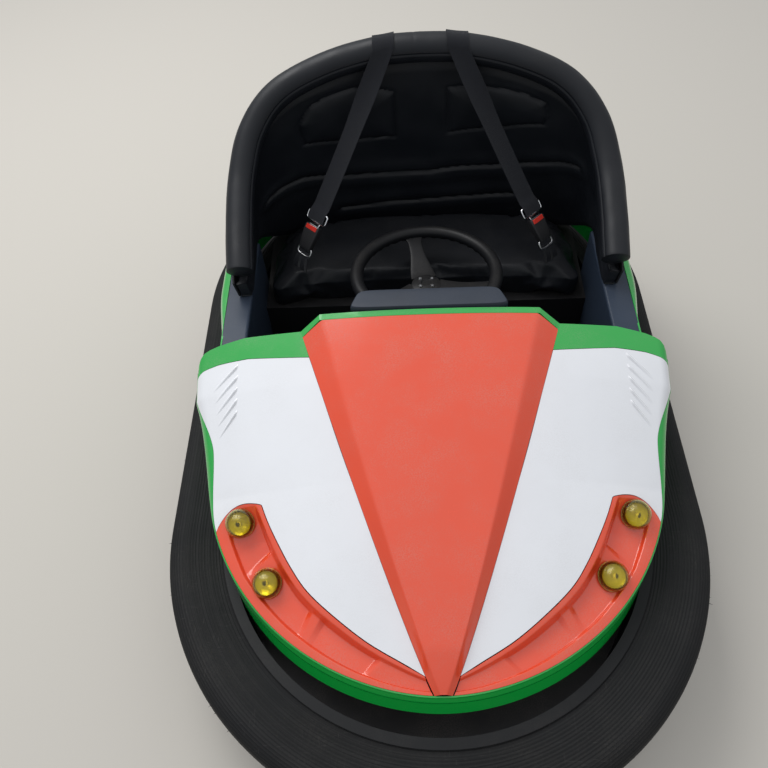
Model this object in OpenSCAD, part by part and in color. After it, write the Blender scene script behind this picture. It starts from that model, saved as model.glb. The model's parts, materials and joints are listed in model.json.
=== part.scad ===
/* [Overall] */
// Length over the rubber bumper, front to back
bumper_length = 1800; // [1600:10:2000]
// Width over the rubber bumper
bumper_width = 1150; // [1050:10:1250]

/* [Bumper] */
// Radial depth of the rubber bumper's section
tyre_depth = 138; // [120:1:150]
// Height of the rubber bumper's section
tyre_height = 125; // [110:1:140]
// Height of the bumper's underside above the ground
tyre_bottom = 165; // [160:1:190]
// Wall thickness of the rubber
tyre_wall = 16; // [10:1:25]
// Height of the wearing band on the outside of the rubber
tyre_band = 46; // [30:1:60]
// Thickness of the steel rim's plate
rim_plate = 4; // [3:0.5:6]
// How far the rim's lips reach out over the rubber
rim_lip = 16; // [10:1:24]

/* [Floor] */
// Height of the floor plate's underside above the ground
floor_bottom = 150; // [145:1:158]
// Thickness of the floor plate
floor_plate = 5; // [3:0.5:8]
// Radius of the four transport bolt holes
transport_hole_r = 6.5; // [5:0.5:8]
// Distance between the transport bolt holes across the car
transport_hole_x = 460; // [400:10:500]
// Distance between the transport bolt holes along the car
transport_hole_y = 1000; // [960:10:1040]

/* [Drive unit] */
// Distance of the steered wheel's axis in front of the middle of the car
drive_forward = 130; // [120:1:180]
// Diameter of the driven tyre
drive_tyre_d = 216; // [200:1:222]
// Width of the driven tyre
drive_tyre_w = 64; // [50:1:70]
// Diameter of the driven wheel's hub
drive_hub_d = 130; // [110:1:150]
// Radius of the driven wheel's axle
drive_axle_r = 12; // [10:0.5:15]
// Thickness of the fork's cheeks and crown
fork_plate = 9; // [6:0.5:12]
// Gap between the driven tyre and each cheek
fork_gap = 8; // [6:0.5:12]
// Diameter of the drive motor
motor_d = 116; // [90:1:120]
// Length of the drive motor
motor_l = 92; // [70:1:96]
// Radius of the kingpost
kingpost_r = 22; // [18:1:28]
// Inner radius of the round well over the drive unit
well_r = 176; // [174:1:190]
// Thickness of the well's sheet
well_sheet = 4; // [3:0.5:5]
// Height of the well's top above the floor plate's underside
well_height = 124; // [120:1:130]

/* [Rear wheels] */
// Distance of the rear axles behind the middle of the car
rear_axle_y = 410; // [380:5:450]
// Distance between the rear wheels' middles
rear_track = 620; // [560:10:660]
// Diameter of the rear wheels
rear_wheel_d = 138; // [120:1:140]
// Width of the rear wheels
rear_wheel_w = 44; // [36:1:50]
// Radius of the rear axle pins
rear_axle_r = 8; // [7:0.5:10]
// Thickness of the rear wheel brackets
bracket_plate = 5; // [4:0.5:6]
// Running gap between a wheel and the plates beside it
wheel_gap = 6; // [5:0.5:8]

/* [Steering] */
// Tilt of the steering column from upright
column_tilt = 8; // [5:1:12]
// Distance of the steering wheel's middle behind the middle of the car
wheel_y = 165; // [160:1:175]
// Height of the steering wheel's rim above the ground
wheel_z = 530; // [520:1:532]
// Radius of the steering wheel at the middle of its rim
wheel_r = 157; // [145:1:158]
// Radius of the steering wheel's rim section
wheel_grip_r = 13; // [11:0.5:15]
// Depth of the steering wheel's dish
wheel_dish = 40; // [30:1:45]
// Radius of the steering shaft
shaft_r = 11; // [9:0.5:13]
// Wall thickness of the column tube
column_wall = 4; // [3:0.5:6]
// Height of the chain case over the well
case_height = 40; // [34:1:44]

/* [Body] */
// Greatest half width of the painted body
body_half_w = 482; // [470:1:490]
// Height of the body's lower edge above the ground
body_bottom = 296; // [294:1:300]
// Thickness of the moulded body panels
panel = 4; // [3:0.5:6]
// Distance from the middle of the car to the tip of the nose
nose_reach = 708; // [690:1:715]
// Where the nose starts to round in, in front of the middle
nose_start = 330; // [320:1:340]
// Distance from the middle of the car to the tail
tail_reach = 730; // [715:1:740]
// Where the tail starts to round in, behind the middle
tail_start = 330; // [300:1:350]
// Height of the cowl's middle at its rear edge
cowl_rear_z = 577; // [565:1:585]
// Height of the cowl's middle at the nose
cowl_nose_z = 337; // [334:1:345]
// Height of the cowl's shoulder at its rear corner
shoulder_rear_z = 500; // [490:1:510]
// Height of the cowl's shoulder where the nose starts
shoulder_front_z = 398; // [390:1:405]
// Width of the painted strip along the cowl's rear edge
strip_w = 22; // [15:1:28]
// Half width of the raised wedge at the cowl's rear edge
wedge_rear_w = 268; // [255:1:275]
// Height of the wedge above the fenders
wedge_rise = 20; // [14:1:24]
// Width of the wedge's sloping sides at the rear
wedge_bevel = 42; // [35:1:48]
// Height of the side sills above the ground
sill_z = 486; // [480:1:490]
// Width of a side sill
sill_w = 52; // [46:1:56]

/* [Lamps] */
// Diameter of a lamp's dome
dome_d = 57; // [50:1:60]
// Height of the lamp bezel's outer edge
bezel_edge_z = 344; // [338:1:350]
// Depth of the bezel's floor below its rim
bezel_depth = 14; // [10:1:18]

/* [Seat] */
// Distance from the middle of the car to the seat's front edge
seat_front_y = 236; // [230:1:245]
// Depth of the seat cushion
seat_depth = 280; // [260:1:290]
// Height of the cushion's top above the ground
seat_z = 416; // [405:1:420]
// Thickness of the seat cushion
seat_t = 76; // [60:1:80]
// Radius of the padded roll round the backrest
roll_r = 31; // [26:1:34]
// Thickness of the backrest's padding
back_t = 26; // [20:1:30]
// Width of the belt webbing
belt_w = 48; // [44:1:50]
// Thickness of the belt webbing
belt_t = 2.6; // [2:0.2:4]

/* [Hidden] */
$fn = 96;
tiny = 0.01;
seat_gap = 0.3;
panel_gap = 0.6;
bumper_r = bumper_width / 2;
arc_y = bumper_length / 2 - bumper_r;
rim_r = bumper_r - tyre_depth;
tyre_top = tyre_bottom + tyre_height;
floor_top = floor_bottom + floor_plate;
drive_y = -drive_forward;
well_top = floor_bottom + well_height;
case_top = well_top + case_height;

// Value between a and b at fraction t
function mix(a, b, t) = a + (b - a) * t;
// Point of a curve with three control points
function bezier(p, q, r, t) = mix(mix(p, q, t), mix(q, r, t), t);
// Smooth step from 0 to 1
function ease(t) = t <= 0 ? 0 : t >= 1 ? 1 : t * t * (3 - 2 * t);
// Point of a smooth curve through the rows of a table, at 0 to 1
function spline(rows, t) =
    let (n = len(rows) - 1, s = min(t * n, n - 1e-6), i = floor(s), f = s - i,
         a = rows[max(i - 1, 0)], b = rows[i], c = rows[i + 1], d = rows[min(i + 2, n)])
    0.5 * (2 * b + (c - a) * f + (2 * a - 5 * b + 4 * c - d) * f * f + (3 * b - a - 3 * c + d) * f * f * f);
function unit(v) = v / norm(v);

// Closed solid between two grids of points, each a list of rows
module skin(top, under, flip = false) {
    nu = len(top) - 1;
    nv = len(top[0]) - 1;
    m = (nu + 1) * (nv + 1);
    points = concat([for (row = top) for (p = row) p], [for (row = under) for (p = row) p]);
    function at(i, j) = i * (nv + 1) + j;
    upper = [for (i = [0:nu - 1]) for (j = [0:nv - 1])
        each [[at(i, j), at(i, j + 1), at(i + 1, j + 1)], [at(i, j), at(i + 1, j + 1), at(i + 1, j)]]];
    lower = [for (f = upper) [f[2] + m, f[1] + m, f[0] + m]];
    wall = concat(
        [for (i = [0:nu - 1]) each [[at(i, 0), at(i + 1, 0), at(i + 1, 0) + m], [at(i, 0), at(i + 1, 0) + m, at(i, 0) + m]]],
        [for (i = [0:nu - 1]) each [[at(i + 1, nv), at(i, nv), at(i, nv) + m], [at(i + 1, nv), at(i, nv) + m, at(i + 1, nv) + m]]],
        [for (j = [0:nv - 1]) each [[at(0, j + 1), at(0, j), at(0, j) + m], [at(0, j + 1), at(0, j) + m, at(0, j + 1) + m]]],
        [for (j = [0:nv - 1]) each [[at(nu, j), at(nu, j + 1), at(nu, j + 1) + m], [at(nu, j), at(nu, j + 1) + m, at(nu, j) + m]]]);
    faces = concat(upper, lower, wall);
    polyhedron(points, flip ? [for (f = faces) [f[2], f[1], f[0]]] : faces);
}

// Solid tube with closed ends through rows of rings
module tube_skin(rings) {
    n = len(rings[0]);
    m = len(rings);
    points = [for (r = rings) for (p = r) p];
    faces = concat(
        [for (i = [0:m - 2]) for (j = [0:n - 1]) each
            [[i * n + j, i * n + (j + 1) % n, (i + 1) * n + (j + 1) % n],
             [i * n + j, (i + 1) * n + (j + 1) % n, (i + 1) * n + j]]],
        [[for (j = [n - 1:-1:0]) j]],
        [[for (j = [0:n - 1]) (m - 1) * n + j]]);
    polyhedron(points, faces);
}

// A profile carried round the bumper's outline: two half rounds and two straights
module ring_sweep() {
    for (end = [-1, 1])
        translate([0, end * arc_y, 0])
            rotate([0, 0, end < 0 ? 180 : 0])
                rotate_extrude(angle = 180)
                    children();
    for (side = [0, 1])
        mirror([side, 0, 0])
            translate([0, arc_y, 0])
                rotate([90, 0, 0])
                    linear_extrude(2 * arc_y)
                        children();
}

// Plan outline of the bumper's ring at a radius
module ring_plan(r) {
    for (end = [-1, 1])
        translate([0, end * arc_y])
            circle(r);
    square([2 * r, 2 * arc_y], center = true);
}

// Rectangle with rounded corners, its lower left corner at the origin
module round_rect(w, h, r) {
    translate([r, 0])
        square([w - 2 * r, h]);
    translate([0, r])
        square([w, h - 2 * r]);
    for (x = [r, w - r])
        for (y = [r, h - r])
            translate([x, y])
                circle(r, $fn = 48);
}

// Chassis

module bumper_rim() {
    color("black")
        ring_sweep() {
            translate([rim_r - rim_plate, floor_top])
                square([rim_plate, tyre_top + rim_plate - floor_top]);
            translate([rim_r - rim_plate, tyre_top + seat_gap])
                square([rim_plate + rim_lip, rim_plate]);
            translate([rim_r - rim_plate, tyre_bottom - rim_plate - seat_gap])
                square([rim_plate + rim_lip, rim_plate]);
        }
}

module tyre_section(inset) {
    shoulder = (tyre_height - tyre_band) / 2;
    h = tyre_height - 2 * inset;
    d = tyre_depth - 2 * inset;
    r = shoulder - inset / 2;
    translate([rim_r + inset, tyre_bottom + inset])
        union() {
            square([d - r, h]);
            translate([0, r])
                square([d, h - 2 * r]);
            for (z = [r, h - r])
                translate([d - r, z])
                    circle(r, $fn = 64);
        }
}

module bumper_tyre() {
    color([0.08, 0.08, 0.08])
        ring_sweep()
            difference() {
                tyre_section(0);
                tyre_section(tyre_wall);
                translate([rim_r - 1, tyre_bottom + 2.2 * tyre_wall])
                    square([tyre_wall + 2, tyre_height - 4.4 * tyre_wall]);
            }
}

module floor_plate() {
    color([0.15, 0.15, 0.16])
        translate([0, 0, floor_bottom])
            linear_extrude(floor_plate)
                difference() {
                    ring_plan(rim_r);
                    translate([0, drive_y])
                        circle(well_r);
                    for (x = [-1, 1])
                        for (y = [-1, 1])
                            translate([x * transport_hole_x / 2, y * transport_hole_y / 2])
                                circle(transport_hole_r);
                }
}

module drive_well() {
    bearing_r = kingpost_r + 14;
    color([0.15, 0.15, 0.16])
        translate([0, drive_y, 0])
            difference() {
                union() {
                    translate([0, 0, floor_bottom])
                        cylinder(h = well_height, r = well_r - seat_gap);
                    translate([0, 0, well_top - 24])
                        cylinder(h = 24, r = bearing_r);
                }
                translate([0, 0, floor_bottom - 1])
                    cylinder(h = well_height - well_sheet + 1 - 20, r = well_r - well_sheet);
                translate([0, 0, well_top - 26])
                    difference() {
                        cylinder(h = 26 - well_sheet, r = well_r - well_sheet);
                        translate([0, 0, -1])
                            cylinder(h = 30, r = bearing_r);
                    }
                translate([0, 0, floor_bottom])
                    cylinder(h = well_height + 1, r = kingpost_r + 0.05);
            }
}

// Places its children at the steering wheel's middle, along the column
module on_column() {
    translate([0, wheel_y, wheel_z])
        rotate([-column_tilt, 0, 0])
            children();
}

column_foot_z = case_top;
column_foot_l = (wheel_z - column_foot_z) / cos(column_tilt);
foot_y = wheel_y - (wheel_z - column_foot_z) * tan(column_tilt);
tube_r = shaft_r + 0.06 + column_wall;

module chain_case() {
    lower_r = 62;
    color([0.12, 0.12, 0.13])
        difference() {
            union() {
                translate([0, 0, well_top])
                    linear_extrude(case_height) {
                        translate([0, drive_y])
                            circle(lower_r + 8);
                        translate([0, foot_y])
                            circle(lower_r - 10);
                        polygon([[lower_r + 7, drive_y + 12], [lower_r - 11, foot_y + 8],
                                 [-lower_r + 11, foot_y + 8], [-lower_r - 7, drive_y + 12]]);
                    }
            }
            translate([0, drive_y, well_top - 1])
                cylinder(h = case_height - 8, r = kingpost_r + 18);
            on_column()
                translate([0, 0, -column_foot_l - case_height])
                    cylinder(h = 2 * case_height, r = tube_r + 0.06);
        }
}

module column_tube() {
    color([0.1, 0.1, 0.1])
        difference() {
            on_column()
                difference() {
                    translate([0, 0, -column_foot_l - 20])
                        cylinder(h = column_foot_l + 20 - wheel_dish - 42, r = tube_r);
                    translate([0, 0, -column_foot_l - 30])
                        cylinder(h = column_foot_l + 30, r = shaft_r + 0.06);
                }
            translate([-100, foot_y - 100, well_top - 50])
                cube([200, 200, 50 + 12]);
        }
}

// Cowl surface

cowl_rear_y = -8;
rear_sag = 62;
split_y = cowl_rear_y - rear_sag - 2;
sill_in = body_half_w - 26 - sill_w;
wedge_tip_w = 14;
wedge_rear_y = cowl_rear_y - strip_w / 2;

// Fraction of the way from the nose tip to the cowl's rear edge
function cowl_s(y) = (y + nose_reach) / (cowl_rear_y + nose_reach);
// Height of the cowl's middle line
function cowl_mid(y) = mix(cowl_nose_z, cowl_rear_z, pow(max(cowl_s(y), 0), 0.87));
// Half width of the painted body in plan
function body_w(y) =
    y < -nose_start ? body_half_w * sqrt(max(0, 1 - pow((y + nose_start) / (nose_reach + 4 - nose_start), 2)))
    : body_half_w + 5 * (y + nose_start) / nose_start;
// Height of the cowl's edge
function cowl_edge(y) =
    y < -nose_start ? mix(cowl_nose_z, shoulder_front_z, max(0, (y + nose_reach) / (nose_reach - nose_start)))
    : mix(shoulder_front_z, shoulder_rear_z, (y + nose_start) / (nose_start - 80));
// Height of the cowl's surface
function cowl_z(x, y) =
    cowl_mid(y) - (cowl_mid(y) - cowl_edge(y)) * pow(min(1, abs(x) / max(body_w(y), 1)), 2.2);
// Half width of the wedge
function wedge_w(y) = mix(wedge_tip_w, wedge_rear_w, pow(max(0, (y + nose_reach - 6) / (wedge_rear_y + nose_reach - 6)), 0.93));
function rear_y(x) = cowl_rear_y - rear_sag * pow(abs(x) / body_half_w, 2);

bezel_corner = [352, -338];
bezel_bend = [290, -560];
bezel_tip = [30, -670];
bezel_start_angle = 3;
bezel_inset = 22;
// Inner edge of the lamp bezel in plan
function bezel_top(t) = bezier(bezel_corner, bezel_bend, bezel_tip, t);
// Outer edge of the lamp bezel in plan
function bezel_low(t) =
    let (a = mix(bezel_start_angle, 88, t))
    [(body_half_w - bezel_inset) * cos(a), -nose_start - (nose_reach - nose_start - 10) * sin(a)];

// Points of a panel that follows the cowl, with a lift above it
function on_cowl(p, lift = 0) = [p[0], p[1], cowl_z(p[0], p[1]) + lift];

function fender_outer(t) =
    t < 0.4 ? let (y = mix(split_y - strip_w, -338, t / 0.4)) [body_w(y) - 1, y]
    : t < 0.48 ? mix([body_w(-338) - 1, -338], bezel_corner, (t - 0.4) / 0.08)
    : bezel_top((t - 0.48) / 0.52);
function fender_inner(t) =
    let (y = mix(rear_y(wedge_rear_w) - strip_w, -670, t)) [wedge_w(y) + panel_gap, y];
// Point of the fender in plan: t from the rear edge forward, v from the wedge out
function fender_at(t, v) =
    let (p = mix(fender_inner(t), fender_outer(t), v), q = mix(fender_inner(0), fender_outer(0), v))
    [p[0], p[1] + (1 - t) * (1 - t) * (rear_y(q[0]) - strip_w - panel_gap - q[1])];

fender_rows = 25;
fender_cols = 7;
module fender(side) {
    grid = [for (i = [0:fender_rows]) [for (j = [0:fender_cols])
        on_cowl(fender_at(i / fender_rows, j / fender_cols))]];
    color("white")
        mirror([side < 0 ? 1 : 0, 0, 0])
            skin(grid, [for (row = grid) [for (p = row) p - [0, 0, panel]]]);
}

module cowl_strip() {
    n = 40;
    grid = [for (i = [0:1]) [for (j = [-n:n])
        let (x = j / n * (body_half_w + 3), y = rear_y(x) - i * strip_w * (abs(x) > wedge_rear_w + 4 ? 1 : 0.5),
             lift = abs(x) < wedge_rear_w ? wedge_lift(x, rear_y(x)) : 0)
        [x, y, cowl_z(x, y) + lift]]];
    color([0.05, 0.55, 0.18])
        skin(grid, [for (row = grid) [for (p = row) p - [0, 0, panel]]]);
}

// Height of the wedge over the cowl at a point
function wedge_lift(x, y) =
    let (w = wedge_w(y), b = wedge_bevel * (0.2 + 0.8 * cowl_s(y)))
    wedge_rise * min(1, max(0, (w - abs(x)) / b));

wedge_rows = 20;
wedge_across = [-1, -0.84, -0.5, 0, 0.5, 0.84, 1];
module hood_wedge() {
    grid = [for (i = [0:wedge_rows]) [for (v = wedge_across)
        let (y0 = mix(rear_y(0) - strip_w / 2 - panel_gap, -nose_reach + 6, i / wedge_rows),
             y = y0 - (1 - i / wedge_rows) * rear_sag * pow(v * wedge_w(y0) / body_half_w, 2), x = v * wedge_w(y))
        [x, y, cowl_z(x, y) + (abs(v) == 1 ? 0 : wedge_rise)]]];
    color([0.9, 0.25, 0.1])
        skin(grid, [for (row = grid) [for (p = row) p - [0, 0, panel]]]);
}

bezel_rows = 22;
bezel_across = [
    // fraction across the bezel from its inner edge, share of the full depth
    [0, 0], [0.08, 0], [0.2, 1], [0.8, 1], [0.92, 0], [1, 0]
];
// Point of the bezel's face: t along it, v across it, sunk by a share of its depth
function bezel_at(t, v, sunk) =
    let (a = bezel_top(t), b = bezel_low(t), p = mix(a, b, v), z = mix(cowl_z(a[0], a[1]), bezel_edge_z - 4 * t, v))
    [p[0], p[1], z - sunk * bezel_depth];
function bezel_floor(t, v) = bezel_at(t, v, 1);
module bezel(side) {
    grid = [for (i = [0:bezel_rows]) [for (c = bezel_across)
        let (t = i / bezel_rows)
        bezel_at(t, c[0], c[1] * (i == 0 ? 0 : min(1, 4 * (1 - t))))]];
    color([0.9, 0.25, 0.1])
        mirror([side < 0 ? 1 : 0, 0, 0])
            skin(grid, [for (row = grid) [for (p = row) p - [0, 0, panel]]]);
}

lamps = [
    // along the bezel, across it
    [0.12, 0.45], [0.38, 0.42]
];
base_h = 9;
base_lift = 1.2;
// Stands its children on the bezel's floor at each lamp, along the floor's normal
module at_lamps() {
    for (side = [0, 1])
        mirror([side, 0, 0])
            for (l = lamps) {
                p = bezel_floor(l[0], l[1]);
                n = unit(cross(bezel_floor(l[0] + 0.02, l[1]) - p, bezel_floor(l[0], l[1] + 0.02) - p));
                translate(p)
                    rotate([0, acos(n[2]), atan2(n[1], n[0])])
                        children();
            }
}

module lamp_bases() {
    color([0.1, 0.1, 0.1])
        at_lamps()
            translate([0, 0, base_lift])
                cylinder(h = base_h, d = dome_d + 4);
}

module lamp_domes() {
    color([0.95, 0.8, 0.1, 0.8])
        at_lamps()
            translate([0, 0, base_lift + base_h])
                intersection() {
                    sphere(d = dome_d, $fn = 48);
                    cylinder(h = dome_d, d = dome_d + 1);
                }
}

band_rows = 34;
// Upper edge of the green band, from the rear corner to the nose
function band_top(t) =
    t < 0.4 ? let (y = mix(split_y, -338, t / 0.4)) [body_w(y), y, cowl_edge(y) - panel - panel_gap]
    : let (q = (t - 0.4) / 0.6, p = bezel_low(q)) [p[0] + 1, p[1] - 1 * q, bezel_edge_z - 4 * q - panel - seat_gap];
function band_low(t) =
    t < 0.4 ? let (y = mix(split_y, -338, t / 0.4)) [body_w(y) + 2, y, body_bottom]
    : let (a = mix(1, 89.9, (t - 0.4) / 0.6))
      [(body_half_w + 2) * cos(a), -nose_start - (nose_reach + 4 - nose_start) * sin(a), body_bottom];

module nose_band() {
    grid = [for (i = [0:band_rows]) [for (j = [0:3])
        let (t = i / band_rows) mix(band_top(t), band_low(t), j / 3)]];
    inner = [for (row = grid) [for (p = row)
        [p[0] * (1 - panel / body_half_w), p[1] < -nose_start ? p[1] + panel * (-p[1] - nose_start) / (nose_reach - nose_start) : p[1], p[2]]]];
    color([0.05, 0.55, 0.18])
        for (side = [0, 1])
            mirror([side, 0, 0])
                skin(grid, inner);
}

// Rear body

rear_rows = 32;
tail_b = tail_reach - tail_start;
function rear_outline(t, inset) =
    t < 0.35 ? [body_half_w + 4 - inset, mix(split_y + panel_gap, tail_start, t / 0.35)]
    : let (a = (t - 0.35) / 0.65 * 90)
      [(body_half_w + 4 - inset) * pow(cos(a), 0.85), tail_start + (tail_b - inset) * pow(sin(a), 0.9)];
function rear_inner(t) =
    t < 0.35 ? [body_half_w - 26, mix(split_y + panel_gap, 280, t / 0.35), sill_z]
    : let (a = (t - 0.35) / 0.65 * 90)
      [(body_half_w - 26) * pow(cos(a), 0.6), 280 + 315 * pow(sin(a), 0.6), sill_z + 90 * ease((t - 0.35) / 0.5)];
function rear_section(t, k) =
    let (low = rear_outline(t, 0), high = rear_outline(t, 6), inn = rear_inner(t),
         shoulder_z = mix(shoulder_rear_z - 34, 430, ease((t - 0.3) / 0.7)))
    k < 2 ? mix([low[0], low[1], body_bottom], [high[0], high[1], shoulder_z], k / 2)
    : bezier([high[0], high[1], shoulder_z], [high[0] * 0.99, high[1] * 0.99, mix(shoulder_z, inn[2], 0.8)], inn, (k - 2) / 4);

module rear_body() {
    grid = [for (i = [0:rear_rows]) [for (k = [0:6]) rear_section(i / rear_rows, k)]];
    inner = [for (row = grid) [for (k = [0:6])
        let (p = row[k], f = panel * (k < 2 ? 1 : (6 - k) / 5))
        [p[0] * (1 - f / body_half_w), p[1] > 0 ? p[1] * (1 - f / tail_reach) : p[1], p[2] - (k < 2 ? 0 : panel)]]];
    color([0.05, 0.55, 0.18])
        for (side = [0, 1])
            mirror([side, 0, 0])
                skin(grid, inner);
}

liner_back_y = 326;
module sill(side) {
    color([0.10, 0.13, 0.17])
        mirror([side < 0 ? 1 : 0, 0, 0]) {
            translate([sill_in, split_y + panel_gap, sill_z - panel])
                cube([sill_w - seat_gap, liner_back_y - split_y - panel_gap, panel]);
            translate([sill_in, split_y + panel_gap, floor_top])
                cube([panel, liner_back_y - split_y - panel_gap, sill_z - floor_top]);
        }
}

// Seat

seat_back_y = seat_front_y + seat_depth;
pan_top = seat_z - seat_t - seat_gap;
module base_plan(inset) {
    intersection() {
        translate([-sill_in + seat_gap + inset, seat_front_y + 6 + inset])
            square([2 * (sill_in - seat_gap - inset), seat_depth + 30]);
        ring_plan(rim_r - rim_plate - seat_gap);
    }
}

module seat_base() {
    color([0.07, 0.07, 0.08])
        difference() {
            translate([0, 0, floor_top])
                linear_extrude(pan_top - floor_top)
                    base_plan(0);
            translate([0, 0, floor_top - 1])
                linear_extrude(pan_top - floor_top - panel + 1)
                    base_plan(panel);
        }
}

cushion_steps = 16;
cushion_inset = 5;
module seat_cushion() {
    right = [for (i = [0:cushion_steps]) let (p = spline(back_low, mix(0.28, 1, i / cushion_steps)))
        [p[0] - cushion_inset * (1 - i / cushion_steps), p[1] - cushion_inset * i / cushion_steps]];
    left = [for (i = [cushion_steps:-1:0]) [-right[i][0], right[i][1]]];
    side = right[0][0];
    color([0.06, 0.06, 0.07])
        translate([0, 0, pan_top + seat_gap])
            linear_extrude(seat_t)
                polygon(concat([[-side, seat_front_y + 30], [-side + 30, seat_front_y],
                                [side - 30, seat_front_y], [side, seat_front_y + 30]], right, left));
}

roll_path = [
    // x, y, z of the roll's middle line, from the arm's end to the top
    [414, 150, 566], [417, 250, 612], [412, 350, 664], [385, 430, 728], [320, 485, 786],
    [210, 513, 828], [90, 528, 851], [0, 531, 855]
];
back_low = [
    // x, y, z of the padding's lower edge
    [402, 150, 490], [404, 240, 490], [404, 330, 490], [384, 440, 400], [320, 500, 352],
    [210, 522, 342], [90, 528, 342], [0, 529, 342]
];
roll_steps = 26;
roll_sides = 14;
function roll_at(s) = let (p = spline(roll_path, abs(s))) [sign(s) * p[0], p[1], p[2]];
function side_of(s) = s < 0 ? -1 : 1;
function half_path(rows, s) = let (p = spline(rows, 1 - abs(s))) [side_of(s) * p[0], p[1], p[2]];

module back_roll() {
    n = roll_steps;
    rings = [for (i = [-n:n])
        let (s = i / n, p = half_path(roll_path, s),
             a = half_path(roll_path, max(-1, s - 0.02)), b = half_path(roll_path, min(1, s + 0.02)),
             d = unit(b - a), up = unit([0, -0.5, 1] - ([0, -0.5, 1] * d) * d), w = cross(d, up))
        [for (k = [0:roll_sides - 1]) let (g = -360 * k / roll_sides) p + roll_r * (cos(g) * up + sin(g) * w)]];
    color([0.06, 0.06, 0.07])
        tube_skin(rings);
}

// Point of the backrest's sheet: s across from -1 to 1, h from the lower edge up, out of its face
function back_at(s, h, out) =
    let (lo = half_path(back_low, s), top = half_path(roll_path, s),
         up = unit(top - lo),
         along = unit(half_path(roll_path, min(1, s + 0.02)) - half_path(roll_path, max(-1, s - 0.02))),
         hi = top - (roll_r + 2 * seat_gap) / norm(cross(up, along)) * up, p = mix(lo, hi, h),
         a = half_path(back_low, max(-1, s - 0.02)), b = half_path(back_low, min(1, s + 0.02)),
         d = unit([b[0] - a[0], b[1] - a[1], 0]), n = [d[1], -d[0], 0])
    p - out * n;

back_steps = 24;
module back_sheet(near, far, h_top) {
    function layer(out) = [for (i = [-back_steps:back_steps]) [for (j = [0:5])
        back_at(i / back_steps, j / 5 * h_top, out)]];
    skin(layer(near), layer(far));
}

module back_pad() {
    color([0.06, 0.06, 0.07])
        back_sheet(0, back_t, 1);
}

module back_shell() {
    color([0.07, 0.07, 0.08])
        back_sheet(back_t + seat_gap, back_t + seat_gap + panel, 1);
}

// Dash

module dash_pad() {
    color([0.10, 0.12, 0.15])
        translate([-160, cowl_rear_y + 2, shelf_z + shelf_t + seat_gap])
            linear_extrude(24)
                round_rect(320, dash_depth, 14);
}

dash_depth = 50;
shelf_t = 3;
shelf_z = cowl_rear_z - 1;
shelf_front_y = cowl_rear_y - 28;
module dash_bracket() {
    color([0.1, 0.1, 0.1]) {
        translate([-140, shelf_front_y, shelf_z])
            cube([280, cowl_rear_y + dash_depth - 4 - shelf_front_y, shelf_t]);
        for (x = [-1, 1])
            translate([x * 100 - 15, shelf_front_y, shelf_z])
                cube([30, 10, cowl_z(0, shelf_front_y) + wedge_rise - panel - 3 - shelf_z]);
    }
}

// Small pieces

module battery() {
    color([0.2, 0.2, 0.22])
        translate([-190, seat_front_y + 60, floor_top])
            cube([380, 200, 150]);
}

module pedal() {
    color([0.2, 0.2, 0.2])
        translate([220, -230, floor_top])
            rotate([0, 0, 0]) {
                cube([70, 20, 30]);
                translate([0, 0, 20])
                    rotate([28, 0, 0])
                        cube([70, 130, 5]);
            }
}

belt_fall = 58;
belt_over = spline(roll_path, 0.87);
belt_bend = roll_r + seat_gap + 0.6;
belt_top = belt_over + belt_bend * [0, -sin(belt_fall), cos(belt_fall)];
belt_foot = [330, 226, 424];
// Turns its children so that +Y runs down the belt and +Z faces up from it
module along_belt(side) {
    d = belt_foot - belt_top;
    yaw = atan2(-d[0], d[1]);
    pitch = atan2(d[2], norm([d[0], d[1]]));
    mirror([side < 0 ? 1 : 0, 0, 0])
        translate(belt_top)
            rotate([0, 0, yaw])
                rotate([pitch, 0, 0])
                    children();
}
belt_l = norm(belt_foot - belt_top);

belt_wrap = 9;
// Webbing from behind the shell, over the roll and down to the tongue
module belt(side) {
    d = unit(belt_foot - belt_top);
    line = concat([belt_over + [0, belt_bend, -150]],
        [for (i = [0:belt_wrap]) let (g = mix(0, 90 + belt_fall, i / belt_wrap))
            belt_over + belt_bend * [0, cos(g), sin(g)]],
        [belt_top + d * belt_l * 0.72]);
    n = len(line) - 1;
    over = unit(spline(roll_path, 0.84) - spline(roll_path, 0.9));
    function across(i) = i == n ? unit([1, -d[0] / d[1], 0]) : over;
    function out(i) = let (a = line[max(i - 1, 0)], b = line[min(i + 1, n)]) unit(cross(unit(b - a), across(i)));
    function ring(lift) = [for (i = [0:n]) [line[i] - across(i) * belt_w / 2 + out(i) * lift,
                                            line[i] + across(i) * belt_w / 2 + out(i) * lift]];
    color([0.04, 0.04, 0.04])
        mirror([side < 0 ? 1 : 0, 0, 0])
            skin(ring(belt_t), ring(0));
}

module belt_tongues() {
    color([0.8, 0.8, 0.8])
        for (side = [-1, 1])
            along_belt(side)
                translate([-belt_w / 2 - 4, belt_l * 0.72 + seat_gap, 0])
                    cube([belt_w + 8, 24, 3]);
}

module buckle(side) {
    color([0.1, 0.1, 0.1])
        along_belt(side)
            translate([-22, belt_l * 0.72 + 24 + 2 * seat_gap, -8])
                cube([44, 62, 18]);
}

module belt_stubs() {
    color([0.04, 0.04, 0.04])
        for (side = [-1, 1])
            along_belt(side)
                translate([-belt_w / 2, belt_l * 0.72 + 24 + 62 + 3 * seat_gap, 0])
                    cube([belt_w, 50, belt_t]);
}

// Wheels

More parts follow.
